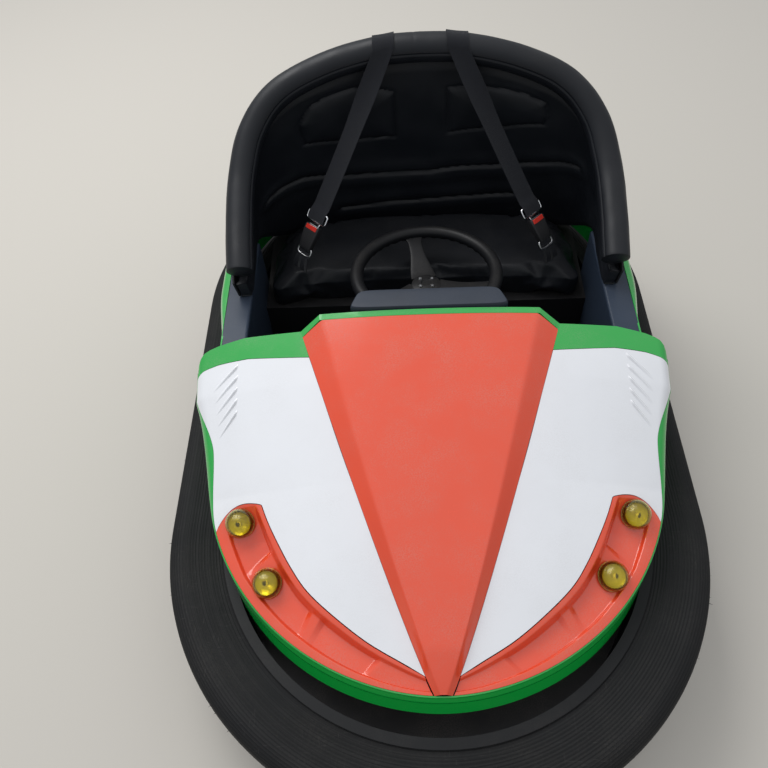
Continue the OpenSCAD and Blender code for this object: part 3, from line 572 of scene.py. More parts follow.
# Share from the wedge to the side; then in mm the rear and front edges' distance before the middle, and the
# flange's drop
STRIP = np.array([
    [0, 20, 75, 34], [0.25, 20, 70, 36], [0.53, 20, 64, 38], [0.70, 26, 66, 38], [0.80, 30, 68, 36],
    [0.878, 35, 72, 16], [0.94, 41, 76, 10], [0.974, 48, 79, 9], [0.993, 57, 82, 8], [1, 66, 84, 8]])


print("body from", round(-NOSE_REACH, 3), "to", round(TAIL_REACH, 3), "m")

# %% Curves and tables


def ease(t):
    """Smooth step: 3t^2 - 2t^3 between 0 and 1."""
    t = np.clip(t, 0, 1)
    return t * t * (3 - 2 * t)


def lerp(a, b, t):
    """Straight mix of a and b."""
    return a + (b - a) * t


def soft_ramp(t, r=0.06):
    """A ramp from 0 to 1 whose two bends are rounded: half of sqrt(t^2 + r^2) - sqrt((t - 1)^2 + r^2) + 1."""
    value = 0.5 * (np.sqrt(t * t + r * r) - np.sqrt((t - 1) ** 2 + r * r) + 1)
    low = 0.5 * (r - math.sqrt(1 + r * r) + 1)
    return (value - low) / (1 - 2 * low)


def spline(rows, t):
    """Catmull-Rom curve through the rows, t from 0 to 1 over all of them."""
    last = len(rows) - 1
    place = np.minimum(np.asarray(t, float) * last, last - 1e-6)
    i = np.floor(place).astype(int)
    f = (place - i)[..., None]
    a, b, c, d = rows[np.maximum(i - 1, 0)], rows[i], rows[i + 1], rows[np.minimum(i + 2, last)]
    return 0.5 * (2 * b + (c - a) * f + (2 * a - 5 * b + 4 * c - d) * f**2 + (3 * b - a - 3 * c + d) * f**3)


def unit(v):
    """The vectors at length one."""
    return v / np.maximum(np.linalg.norm(v, axis=-1, keepdims=True), 1e-12)


def run_along(line):
    """Distance along a line of points from its first."""
    return np.concatenate([[0], np.cumsum(np.linalg.norm(np.diff(line, axis=0), axis=1))])


def read_rows(place, steps, rows):
    """Rows read off at places between their steps, column by column."""
    return np.stack([np.interp(place, steps, column) for column in rows.T], -1)


def rounded_square(count, power_x, power_y):
    """Superellipse of half size one: x = sign(cos a) |cos a|^px, y = sign(sin a) |sin a|^py."""
    angle = np.linspace(0, 2 * np.pi, count, endpoint=False)
    c, s = np.cos(angle), np.sin(angle)
    return np.sign(c) * np.abs(c) ** power_x, np.sign(s) * np.abs(s) ** power_y


print("ease at a quarter:", round(float(ease(0.25)), 4))

# %% Cowl


def body_w(y):
    """Half width in plan: (1 - s^2.25)^0.526 - 0.42 s (1 - s)^4 of the widest, s from there to the tip."""
    s = np.clip((WIDEST_Y - y) / (LIP_REACH + WIDEST_Y), 0, 1)
    return COWL_HALF_W * ((1 - s**2.25) ** 0.526 - 0.42 * s * (1 - s) ** 4)


def cowl_mid(y):
    """Height of the middle line, a power 0.87 from nose to dash."""
    return lerp(NOSE_Z, DASH_Z, np.maximum(y / NOSE_REACH + 1, 0) ** 0.87)


def cowl_edge(y):
    """Height of the edge: a power 1.6 up to the shoulder, then straight."""
    nose = np.maximum((y + LIP_REACH) / (LIP_REACH + SHOULDER_Y), 0)
    side = (y - SHOULDER_Y) / (CORNER_Y - SHOULDER_Y)
    return np.where(y < SHOULDER_Y, lerp(LIP_Z, SHOULDER_FRONT_Z, nose**1.6),
                    lerp(SHOULDER_FRONT_Z, SHOULDER_REAR_Z, side))


def shoulder_at(y):
    """Radius of the rounded shoulder, which runs out towards the nose."""
    return lerp(SHOULDER_R, EDGE, ease((y - 0.76 * SHOULDER_Y) / (0.455 * SHOULDER_Y)))


def cowl_z(x, y):
    """Height of the cowl: mid - (mid - edge) (|x| / w)^2.2, less the shoulder's quarter circle."""
    w = np.maximum(body_w(y), 0.001)
    r = shoulder_at(y)
    u = np.clip(1 - (w - np.abs(x)) / r, 0, 1)
    mid = cowl_mid(y)
    return mid - (mid - cowl_edge(y)) * np.minimum(1, np.abs(x) / w) ** 2.2 - r * (1 - np.sqrt(1 - u * u))


def on_cowl(x, y, lift=0.0):
    """Points on the cowl over x and y, lifted."""
    x, y = np.broadcast_arrays(x, y)
    return np.stack([x, y, cowl_z(x, y) + lift], -1)


def wedge_w(y):
    """Half width of the raised wedge."""
    return lerp(WEDGE_TIP_W, WEDGE_REAR_W, np.maximum(y / LIP_REACH + 1, 0) ** 0.9)


def paint_inset(y):
    """How far the white paint's edge stands in from the outline; it dips over the shoulder by the strip."""
    down = ease((y - WIDEST_Y) / (0.333 * SHOULDER_Y))
    back = ease((y - 0.68 * SHOULDER_Y) / (0.515 * SHOULDER_Y))
    return EDGE + 0.021 * down * (1 - back)


def outline(q):
    """Outline in plan from the widest place (q = 0) to the nose tip (q = 1)."""
    y = WIDEST_Y - np.sin(np.pi / 2 * np.clip(q, 0, 1)) ** 0.95 * (LIP_REACH + WIDEST_Y)
    return np.stack([body_w(y), y], -1)


def outline_normal(q):
    """Outward direction of the outline in plan."""
    along = unit(outline(q + 0.01) - outline(np.maximum(q - 0.01, 0)))
    out = np.stack([-along[..., 1], along[..., 0]], -1)
    return np.where(np.asarray(q)[..., None] > 0.995, [0.0, -1.0], out)


def strip_at(share, column):
    """A column of the strip's table at a share, in metres."""
    return np.interp(share, STRIP[:, 0], STRIP[:, column]) * 0.001


def strip_x(share, y):
    """Place across the cowl of a share of the way from the wedge to the side."""
    return lerp(wedge_w(y) + GAP, body_w(y) - EDGE - 3 * GAP, share)


print("flat share of the wedge:", round(WEDGE_FLAT, 3))

# %% [markdown]
# A moulded panel is thin, with rounded rims that catch the light. Boxes with booleans would give its
# outline but no even skin. So every new surface is a grid of points worked out at once, and a panel is such
# a grid given a thickness inwards and rounded edges.

# %% Pieces from grids


def volume_inside(mesh):
    """Signed volume, a sixth of the sum of a . (b x c) over all triangles: negative if faces look inwards."""
    mesh.calc_loop_triangles()
    corners = np.empty(len(mesh.loop_triangles) * 3, np.int32)
    mesh.loop_triangles.foreach_get("vertices", corners)
    place = np.empty(len(mesh.vertices) * 3)
    mesh.vertices.foreach_get("co", place)
    place = place.reshape(-1, 3)
    a, b, c = (place - place.mean(axis=0))[corners.reshape(-1, 3)].transpose(1, 0, 2)
    return float((a * np.cross(b, c)).sum() / 6)


def new_piece(name, points, faces, look, sharp=38, body="chassis"):
    """A mesh object from points and faces on one body, with its finish, smooth up to an angle in degrees."""
    mesh = bpy.data.meshes.new(name)
    mesh.from_pydata(np.asarray(points).reshape(-1, 3).tolist(), [], faces)
    if len(mesh.loops) == 2 * len(mesh.edges) and volume_inside(mesh) < 0:
        mesh.flip_normals()
    mesh.polygons.foreach_set("use_smooth", np.ones(len(mesh.polygons), bool))
    mesh.set_sharp_from_angle(angle=math.radians(sharp))
    mesh.materials.append(finish[look])
    piece = bpy.data.objects.new(name, mesh)
    bpy.context.scene.collection.objects.link(piece)
    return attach(piece, body)


def grid_faces(rows, columns, wrap_rows=False, wrap_columns=False):
    """Four-sided faces of a grid of points, facing along rows x columns."""
    i = np.arange(rows if wrap_rows else rows - 1)[:, None]
    j = np.arange(columns if wrap_columns else columns - 1)[None, :]
    up, right = (i + 1) % rows, (j + 1) % columns
    corners = [i * columns + j, up * columns + j, up * columns + right, i * columns + right]
    return np.stack([np.broadcast_to(c, (i.size, j.size)) for c in corners], -1).reshape(-1, 4).tolist()


def end_caps(rings, sides):
    """Faces that close the first and the last ring of a grid whose faces look outwards."""
    last = (rings - 1) * sides
    return [list(range(sides))[::-1], [last + k for k in range(sides)]]


def add_modifier(piece, kind, **settings):
    """Adds a modifier with its settings."""
    modifier = piece.modifiers.new(kind.lower(), kind)
    for label, value in settings.items():
        setattr(modifier, label, value)
    return modifier


def round_edges(piece, width, angle=35, segments=3):
    """Rounds the edges sharper than an angle in degrees."""
    add_modifier(piece, "BEVEL", width=width, segments=segments, limit_method="ANGLE",
                 angle_limit=math.radians(angle), harden_normals=True)


def panel(name, grid, look, thick=0.004, edge=0.0012):
    """A moulded panel: a grid facing outwards, thickened inwards, its rims rounded."""
    piece = new_piece(name, grid, grid_faces(*grid.shape[:2]), look)
    add_modifier(piece, "SOLIDIFY", thickness=thick, offset=-1)
    round_edges(piece, edge)
    return piece


def turned(grid):
    """The same grid on the left side, its rows reversed so that it still faces outwards."""
    return grid[::-1] * [-1, 1, 1]


def both_sides(grid):
    """A grid whose last row lies on the middle, carried on over the other side."""
    return np.concatenate([grid, turned(grid)[1:]])


print("helpers ready")

# %% [markdown]
# The orange wedge runs up the middle of the nose, the green strip crosses the cowl in front of the dash,
# and the rear body wraps the seat. Scaled CAD faces would show facets in their gloss. So each is a fine
# grid on the formulas above, and reflections run smoothly over them.

# %% Wedge, strip and rear body


def wedge_grid(rows=90, columns=97):
    """Rows from the dash to the tip; across it, a flat top and two bevels with rounded bends."""
    f = np.linspace(0, 1, rows)[:, None]
    v = np.linspace(-1, 1, columns)[None, :]
    flat = 1 - lerp(WEDGE_BEVEL, 0.010, f) / wedge_w(lerp(-STRIP_OVER, -LIP_REACH, f))
    bevel = np.clip((np.abs(v) - flat) / (1 - flat), 0, 1)
    y = lerp(-STRIP_OVER - GAP, EDGE + GAP - LIP_REACH, f) - 0.020 * (1 - f) ** 3 * bevel
    x = v * wedge_w(y)
    rise = WEDGE_RISE * np.minimum(1, 0.4 + 6 * (1 - f)) * soft_ramp(1 - bevel)
    return on_cowl(x, y, rise)


def across_strip(bottom, rear, front, steps=8):
    """The strip's section: down its flange, then from its rear edge to its front edge on the cowl."""
    f = np.linspace(0, 1, steps)[None, :, None]
    flange = lerp(bottom[:, None], rear[:, None], np.array([0, 0.5])[None, :, None])
    over = lerp(rear[:, None], front[:, None], f)
    lift = [p[:, 2] - cowl_z(p[:, 0], p[:, 1]) for p in (rear, front)]
    over[..., 2] = cowl_z(over[..., 0], over[..., 1]) + lerp(lift[0][:, None], lift[1][:, None], f[..., 0])
    return np.concatenate([flange, over], 1)


def strip_grid():
    """The strip from the right side over the wedge to the left side."""
    v = np.linspace(0, 1, 24) * WEDGE_FLAT * WEDGE_REAR_W
    top = [on_cowl(v, 0 * v, WEDGE_RISE - 0.009), on_cowl(v, 0 * v, WEDGE_RISE),
           on_cowl(v, 0 * v - STRIP_OVER, WEDGE_RISE)]
    back = np.array([-0.020])
    foot = [on_cowl(wedge_w(back), back, -0.009), on_cowl(wedge_w(back), back),
            on_cowl(wedge_w(back - STRIP_OVER), back - STRIP_OVER)]
    slope = soft_ramp(np.linspace(0, 1, 10))[1:, None]
    down = [lerp(a[-1:], b, slope) for a, b in zip(top, foot)]
    shares = np.unique(np.concatenate([np.linspace(0, 1, 90), STRIP[:, 0], np.linspace(0.97, 1, 12)]))
    rear, front = -strip_at(shares, 1), -strip_at(shares, 2)
    rear_x = strip_x(shares, rear) + 2 * GAP * (1 - shares)
    beside = [on_cowl(rear_x, rear, -strip_at(shares, 3)), on_cowl(rear_x, rear),
              on_cowl(strip_x(shares, front), front)]
    half = across_strip(*[np.concatenate(parts) for parts in zip(top, down, beside)])
    return both_sides(half[::-1])


print("wedge and strip:", wedge_grid().shape[:2], strip_grid().shape[:2])

# %% Rear body's plan


def rear_outline(t, inset):
    """Plan of the rear body: straight side, then cos^0.85 and sin^0.9 round the tail."""
    start = 0.452 * TAIL_REACH
    y = lerp(SPLIT_Y, start, t / 0.4)
    side = BODY_HALF_W - 0.020 * (1 - ease(y / 0.190)) - inset
    a = np.clip((t - 0.4) / 0.6, 0, 1) * np.pi / 2
    round_x = (BODY_HALF_W - inset) * np.maximum(np.cos(a), 0) ** 0.85
    round_y = start + (TAIL_REACH - start - inset) * np.sin(a) ** 0.9
    return np.where(t < 0.4, side, round_x), np.where(t < 0.4, y, round_y)


def rear_inner(t):
    """Inner upper edge of the rear body: along the sill, then up over the tail's ledge."""
    start = 0.384 * TAIL_REACH
    pad = TAIL_REACH - start - 0.135
    a = np.clip((t - 0.4) / 0.6, 0, 1) * np.pi / 2
    x = np.where(t < 0.4, BODY_HALF_W - 0.022, (BODY_HALF_W - 0.022) * np.maximum(np.cos(a), 0) ** 0.6)
    y = np.where(t < 0.4, lerp(SPLIT_Y, start, t / 0.4), start + pad * np.sin(a) ** 0.6)
    return x, y, SILL_Z + np.where(t < 0.4, 0, 0.090 * ease((t - 0.4) / 0.5))


def rear_grid(rows=120):
    """Rows round the car from the split to the tail's middle; up the side, then over a curved shoulder."""
    t = np.linspace(0, 1, rows)
    low, high = rear_outline(t, 0.0), rear_outline(t, 0.003 * ease(t))
    inn = rear_inner(t)
    shoulder = lerp(SILL_Z - 0.018, 0.430, ease((t - 0.3) / 0.7))
    a = np.stack([low[0], low[1], np.full_like(t, BODY_BOTTOM)], -1)[:, None]
    b = np.stack([high[0], high[1], shoulder], -1)[:, None]
    bend = np.stack([high[0] * 0.99, high[1] * 0.99, lerp(shoulder, inn[2], 0.8)], -1)[:, None]
    c = np.stack(inn, -1)[:, None]
    side = lerp(a, b, np.linspace(0, 1, 8)[None, :-1, None])
    g = np.linspace(0, 1, 16)[None, :, None]
    return both_sides(np.concatenate([side, lerp(lerp(b, bend, g), lerp(bend, c, g), g)], 1))


print("rear body:", rear_grid().shape[:2], "points")

# %% Wedge, strip and rear body made
wedge = panel("wedge_panel", wedge_grid(), "orange_gelcoat")
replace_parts(wedge, "hood_wedge")
strip = panel("strip_panel", strip_grid(), "green_gelcoat")
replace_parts(strip, "cowl_strip")
rear = panel("rear_panel", rear_grid(), "green_gelcoat")
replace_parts(rear, "rear_body")
print("wedge, strip and rear body:", [len(p.data.vertices) for p in (wedge, strip, rear)], "points")

# %% [markdown]
# The lamp bezels are the body's finest moulding: long orange recesses with stepped pockets for the lamps.
# Carving them out of the cowl would leave ragged walls. So two edges run in plan from a rounded rear end to
# the nose, and a table says how deep the floor lies along each edge, which gives pockets, walls, a border
# and a lip. The share of the depth is blurred a little, as a mould's corners are.

# %% Lamp bezels
# Inner edge in plan: shares of the half width and of the nose's reach
BEZEL_INNER = np.array([[0.693, 0.499], [0.663, 0.549], [0.620, 0.607], [0.564, 0.674], [0.500, 0.734],
                        [0.398, 0.798], [0.273, 0.863], [0.140, 0.915], [0.066, 0.942]])
# Place along the inner edge, sink there, place along the outer edge, sink there
BEZEL_STEPS = np.array([
    [0, 0, 0, 0], [0.015, 0.05, 0.015, 0.1], [0.09, 0.45, 0.06, 0.55], [0.17, 0.88, 0.12, 0.97],
    [0.21, 0.9, 0.19, 1], [0.235, 0.45, 0.21, 1], [0.30, 0.3, 0.235, 1], [0.315, 0.34, 0.25, 0.98],
    [0.38, 0.62, 0.31, 1], [0.45, 0.9, 0.38, 1], [0.52, 0.93, 0.48, 1], [0.545, 0.45, 0.50, 1],
    [0.58, 0.4, 0.52, 1], [0.60, 0.9, 0.54, 1], [0.70, 0.95, 0.63, 1], [0.79, 0.95, 0.73, 1],
    [0.81, 0.45, 0.75, 0.7], [0.90, 0.6, 0.87, 0.8], [1, 0.9, 1, 0.9]])
BEZEL_FROM, BEZEL_TO = 0.29, 0.972
BORDER_W, WALL_W, LIP_W = 0.011, 0.006, 0.017
BEZEL_GAP = 0.0014


def bezel_low(t):
    """Outer edge of the bezel in plan, just inside the body's outline."""
    q = lerp(BEZEL_FROM, BEZEL_TO, t)
    return outline(q) - (EDGE + GAP) * outline_normal(q)


def bezel_top(t):
    """Inner edge of the bezel in plan, a curve through its table."""
    return spline(BEZEL_INNER, t) * [COWL_HALF_W, -NOSE_REACH]


def bezel_bulge(t, v):
    """How far the rear end is rounded out: 25 mm sin(180 v^1.3)^0.7, fading along the bezel."""
    return 0.025 * np.maximum(np.sin(np.pi * v**1.3), 0) ** 0.7 * np.maximum(0, 1 - 5 * t)


def bezel_plan(t_in, t_out, v):
    """A point in plan, v across from the inner edge to the outer."""
    v = np.asarray(v, float)
    flat = lerp(bezel_top(t_in), bezel_low(t_out), v[..., None])
    return flat + np.stack([0 * v, bezel_bulge(np.minimum(t_in, t_out), v)], -1)


print("bezel from", [round(float(c), 3) for c in bezel_low(0.0)])

# %% Depth of the pockets


def bezel_step(r):
    """The table's row at a place r counted in rows."""
    return read_rows(r, np.arange(len(BEZEL_STEPS)), BEZEL_STEPS)


def bezel_profile(t_in, t_out, v):
    """Share of the sink across the bezel: border, wall, floor, lip. v may be an array."""
    w = np.linalg.norm(bezel_top(t_in) - bezel_low(t_out))
    k = min(1, w / 0.090) / w
    places = [0, BORDER_W * k, (BORDER_W + WALL_W) * k, 0.5, 1 - (LIP_W + 0.005) * k, 1 - LIP_W * k, 1]
    return np.interp(v, places, [0, 0.04, 1, 1, 1, 0.25, 0])


def blur(grid, turns):
    """Smooths a grid of numbers by a quarter, a half and a quarter of neighbours, its rims kept."""
    for _ in range(turns):
        for axis in (0, 1):
            padded = np.concatenate([grid.take([0], axis), grid, grid.take([-1], axis)], axis)
            n = grid.shape[axis]
            grid = (padded.take(range(n), axis) + 2 * grid + padded.take(range(2, n + 2), axis)) / 4
    return grid


def bezel_grid(rows=180, columns=72):
    """Points of the right bezel; its height is the cowl's, mixed with the floor's by the blurred share."""
    r = np.linspace(0, len(BEZEL_STEPS) - 1, rows)
    v = np.linspace(0, 1, columns)
    steps = bezel_step(r)
    share = np.stack([bezel_profile(s[0], s[2], v) * lerp(s[1], s[3], v) for s in steps])
    share = blur(share, 1)
    t_in, t_out = np.repeat(steps[:, :1], columns, 1), np.repeat(steps[:, 2:3], columns, 1)
    across = np.repeat(v[None], rows, 0)
    plan = bezel_plan(t_in, t_out, across)
    floor = cowl_edge(bezel_low(steps[:, 2])[:, 1])[:, None] - 0.004 + 0.009 * (1 - across)
    z = cowl_z(plan[..., 0], plan[..., 1])
    return np.concatenate([plan, lerp(z, floor, share)[..., None]], -1)


bezel_right = bezel_grid()
for side, grid in (("right", bezel_right), ("left", turned(bezel_right))):
    piece = panel("bezel_panel_" + side, grid, "orange_gelcoat", thick=0.003, edge=0.001)
    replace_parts(piece, "bezel_" + side)
print("bezels:", bezel_right.shape[0] * bezel_right.shape[1], "points a side")

# %% [markdown]
# The white fenders fill what is left of the cowl between wedge, strip and bezel, and the green band hangs
# from their edge. Cutting them from one sheet would leave steps along the cuts. So a fender's rows start
# beside the wedge and end on its true edge: along the side first, then round the bezel's end, then along
# its inner edge.

# %% Fenders, louvres and band
PAINT_REAR_Y = -strip_at(1, 2) - 2 * GAP
BEZEL_REAR_Y = float(bezel_low(0.0)[1])
SIDE_ROWS, END_ROWS, EDGE_ROWS = 18, 8, 14
ARC_LAST = SIDE_ROWS + END_ROWS
FENDER_ROWS = ARC_LAST + EDGE_ROWS
LOUVRES = 5
# Share of the cowl's half width, and metres forward
LOUVRE_FIRST = (0.803, 0.078)
LOUVRE_STEP = 0.023
LOUVRE_RUN = (0.118, 0.050)
LOUVRE_RISE = 0.005


def end_shares():
    """Places across the bezel's rounded end where the fender's rows meet it."""
    w = float(np.linalg.norm(bezel_top(0.0) - bezel_low(0.0)))
    k = min(1, w / 0.090) / w
    return np.array([0, BORDER_W * k, (BORDER_W + WALL_W) * k, 0.34, 0.5, 0.64,
                     1 - (LIP_W + 0.008) * k, 1 - LIP_W * k, 1])


def fender_outer(i):
    """Outer edge in plan at rows i, which need not be whole."""
    y = lerp(PAINT_REAR_Y, BEZEL_REAR_Y, np.clip(i / SIDE_ROWS, 0, 1))
    side = np.stack([body_w(y) - paint_inset(y) - GAP, y], -1)
    v = np.interp(ARC_LAST - i, np.arange(END_ROWS + 1), end_shares())
    end = bezel_plan(0 * i, 0 * i, v) + [0, BEZEL_GAP]
    t = np.clip((i - ARC_LAST) / EDGE_ROWS, 0, 1)
    inner = bezel_top(t) + np.stack([0 * t - BEZEL_GAP, BEZEL_GAP * np.minimum(1, (1 - t) * 9)], -1)
    i = i[..., None]
    return np.where(i <= SIDE_ROWS, side, np.where(i <= ARC_LAST, end, inner))


def end_row(x, x_out):
    """A line behind the bezel's rounded end, bent forward inboard of it."""
    a, b = bezel_top(0.0), bezel_low(0.0)
    v = np.clip((x - a[0]) / (b[0] - a[0]), 0, 1)
    return lerp(a[1], b[1], v) + bezel_bulge(0.0, v) + BEZEL_GAP + 0.12 * (x_out - x)


def fender_start(i):
    """Where a row starts beside the wedge."""
    beside = wedge_w(SHOULDER_Y)
    last = end_row(beside, fender_outer(np.array([float(SIDE_ROWS)]))[0, 0])
    side = lerp(-strip_at(0, 2) - GAP, last, i / SIDE_ROWS)
    end = end_row(beside, fender_outer(np.clip(i, 0, ARC_LAST))[..., 0])
    tip = lerp(end_row(beside, fender_outer(np.array([float(ARC_LAST)]))[0, 0]), -0.94 * NOSE_REACH,
               (i - ARC_LAST) / EDGE_ROWS)
    return np.where(i <= SIDE_ROWS, side, np.where(i <= ARC_LAST, end, tip))


def fender_grid():
    """The right fender's points: rows from the strip to the nose, columns from the wedge out."""
    i = np.concatenate([np.linspace(0, SIDE_ROWS, 70), np.linspace(SIDE_ROWS, ARC_LAST, 40)[1:],
                        np.linspace(ARC_LAST, FENDER_ROWS, 70)[1:]])
    v = (1 - (1 - np.linspace(0, 1, 52)) ** 1.6)[None, :]
    outer, start = fender_outer(i), fender_start(i)
    x = lerp((wedge_w(start) + GAP)[:, None], outer[:, :1], v)
    y = lerp(start[:, None], outer[:, 1:], v)
    first, last = fender_outer(np.array([0.0]))[0], fender_outer(np.array([float(SIDE_ROWS)]))[0]
    start_0, start_last = fender_start(np.array([0.0, float(SIDE_ROWS)]))
    bend = end_row(x, last[0]) - lerp(start_last, last[1], v)
    off = strip_at(v, 2) + 2 * GAP + lerp(start_0, first[1], v)
    row = i[:, None]
    side = y + ease((row - 6) / (SIDE_ROWS - 6)) * bend - np.maximum(0, 1 - row / 9) ** 2 * off
    y = np.where(row > ARC_LAST, y, np.where(row >= SIDE_ROWS, end_row(x, outer[:, :1]), side))
    return on_cowl(x, y)


print("fender:", fender_grid().shape[:2], "points")

# %% Louvres and band


def louvre_grid(k, along=40, across=16):
    """Saw-tooth rib number k: steep behind, sloping forward, fading along its run to the side."""
    a = np.array([LOUVRE_FIRST[0] * COWL_HALF_W, -LOUVRE_FIRST[1] - k * LOUVRE_STEP])
    run = np.array([(LOUVRE_RUN[0] - 0.008 * k) * COWL_HALF_W, -LOUVRE_RUN[1]])
    f = np.linspace(0, 1, along)[None, :]
    g = np.linspace(0, 1, across)[:, None]
    plan = a + run * f[..., None] + np.stack([0 * (f + g), lerp(0.012, -0.003, g) + 0 * f], -1)
    hump = np.where(g < 0.62, ease(g / 0.62) ** 1.3, ease((1 - g) / 0.38))
    rise = LOUVRE_RISE * np.minimum(1, 8 * f) * (1 - f * f) * hump
    return on_cowl(plan[..., 0], plan[..., 1], rise - 0.0006)


def band_line():
    """The band's outermost line in plan, its normals, the strip's share, and which points lie on it."""
    shares = np.linspace(0.81, 1, 26)
    rear_y = -strip_at(shares, 1)
    corner = np.stack([strip_x(shares, rear_y) + 2 * GAP * (1 - shares), rear_y], -1)
    y = np.concatenate([-strip_at(1, 1) - np.array([0.004, 0.008, 0.011, 0.015]),
                        np.linspace(PAINT_REAR_Y, BEZEL_REAR_Y, 60)])
    side = np.stack([body_w(y), y], -1)
    nose = outline(lerp(BEZEL_FROM, 1, np.linspace(0, 1, 80)[1:]))
    line = np.concatenate([corner, side, nose])
    along = unit(np.gradient(line, axis=0))
    normal = np.stack([-along[:, 1], along[:, 0]], -1)
    normal[-1] = [0, -1]
    share = np.concatenate([shares, np.ones(len(line) - len(shares))])
    return line, normal, share, np.arange(len(line)) < len(shares)


def band_grid():
    """The band's section all along its line: over the shoulder, then down a flange, a crease and a lip."""
    line, normal, share, corner = band_line()
    x, y = line[:, 0], line[:, 1]
    r, dip = shoulder_at(y), paint_inset(y)
    out = ease((y - 1.1 * SHOULDER_Y) / SHOULDER_Y) ** 1.3
    top = np.where(corner, cowl_z(x, y) - strip_at(share, 3) - 2 * GAP, cowl_edge(y) - r)
    inward = np.where((y > BEZEL_REAR_Y)[:, None], [1.0, 0.0], normal)
    rows = []
    for k in np.linspace(0, 3, 9)[:-1]:
        q = line - (dip * (1 - k / 3))[:, None] * inward
        over = cowl_z(q[:, 0], q[:, 1])
        rows.append(np.stack([np.where(corner, x, q[:, 0]), np.where(corner, y, q[:, 1]),
                              np.where(corner, top - 0.002 * k, over)], -1))
    stands = np.interp(np.linspace(0, 1, 19), [0, 0.26, 0.36, 1], [0, 0.006, 0.005, 0.017])
    for level, stand in zip(np.linspace(0, 1, 19), stands):
        z = lerp(top - np.where(corner, 0.006, 0), BODY_BOTTOM, level)
        plan = line + (stand * out)[:, None] * normal
        rows.append(np.concatenate([plan, z[:, None]], 1))
    return both_sides(np.stack(rows, 1))


print("band:", band_grid().shape[:2], "points")

# %% Fenders and band made
fender_right = fender_grid()
for side, grid in (("right", fender_right), ("left", turned(fender_right))):
    piece = panel("fender_panel_" + side, grid, "white_gelcoat", edge=0.0015)
    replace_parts(piece, "fender_" + side)
    for k in range(LOUVRES):
        rib = louvre_grid(k)
        panel(f"louvre_{side}_{k}", rib if side == "right" else turned(rib), "white_gelcoat", 0.001, 0.0004)
band = panel("band_panel", band_grid(), "green_gelcoat")
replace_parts(band, "nose_band")
print("fenders:", fender_right.shape[:2], "band:", len(band.data.vertices), "points")

# %% [markdown]
# Each lamp is a ribbed amber dome on a small round base, with a reflector and a bulb inside. They are
# turned bodies, as the real ones are. They stand on the bezel's floor along its own normal, found by a
# cross product of the grid's two directions. A dome's radius ripples, R (1 + a cos n phi), which is how its
# flutes are made without cutting.

# %% Lamps
# Row of the bezel's table and share of the way across its floor
LAMPS = ((1.75, 0.60), (7.3, 0.52))
DOME_R, LENS_T = 0.0295, 0.0016
BASE_R, BASE_H, BASE_FOOT, BASE_LIP = 0.0268, 0.006, 0.004, 0.0025
MIRROR_R, SOCKET_R, BULB_R = 0.0225, 0.0035, 0.0056
FLUTES, FLUTE_DEPTH = 30, 0.016


def lamp_place(row, share, grid):
    """Point and unit normal on the bezel's floor at a row of its table and a share across the floor."""
    across = end_shares()[2:7]
    v = np.interp(share * 4, np.arange(5), across)
    i = int(row / (len(BEZEL_STEPS) - 1) * (grid.shape[0] - 1))
    j = int(v * (grid.shape[1] - 1))
    along, side = grid[i + 6, j] - grid[i - 6, j], grid[i, j + 6] - grid[i, j - 6]
    normal = unit(np.cross(along, side))
    away = grid.reshape(-1, 3) - grid[i, j]
    height = away @ normal
    near = np.linalg.norm(away - height[:, None] * normal, axis=1) < BASE_R * 0.96
    return grid[i, j] + normal * (np.percentile(height[near], 80) + 0.0005), normal


def frame_on(normal):
    """Three unit columns: two across the normal, then the normal."""
    side = unit(np.cross([0.0, 1.0, 0.1], normal))
    return np.stack([side, np.cross(normal, side), normal], 1)


def turned_body(name, profile, place, axes, look, steps=60, ripple=0.0, count=0, body="chassis", sharp=38,
                loop=False):
    """A profile of (radius, height) turned about an axis: radius times 1 + ripple cos(count phi)."""
    profile = np.asarray(profile, float)
    phi = np.linspace(0, 2 * np.pi, steps, endpoint=False)
    fade = np.sin(np.linspace(0, np.pi, len(profile)))[:, None] ** 0.5
    swell = 1 + ripple * np.cos(count * phi)[None, :] * fade
    radius = profile[:, :1] * swell
    local = np.stack([radius * np.cos(phi), radius * np.sin(phi), np.repeat(profile[:, 1:], steps, 1)], -1)
    faces = [f[::-1] for f in grid_faces(len(profile), steps, loop, True)]
    faces += [] if loop else end_caps(len(profile), steps)
    return new_piece(name, local @ axes.T + place, faces, look, sharp, body)


def arc_profile(radius, low, high, count, lift=0.0):
    """Points (r, z) of a circle's arc between two angles above its centre, in degrees."""
    angle = np.radians(np.linspace(low, high, count))
    return np.stack([radius * np.cos(angle), radius * np.sin(angle) + lift], 1)


print("flutes on a dome:", FLUTES)

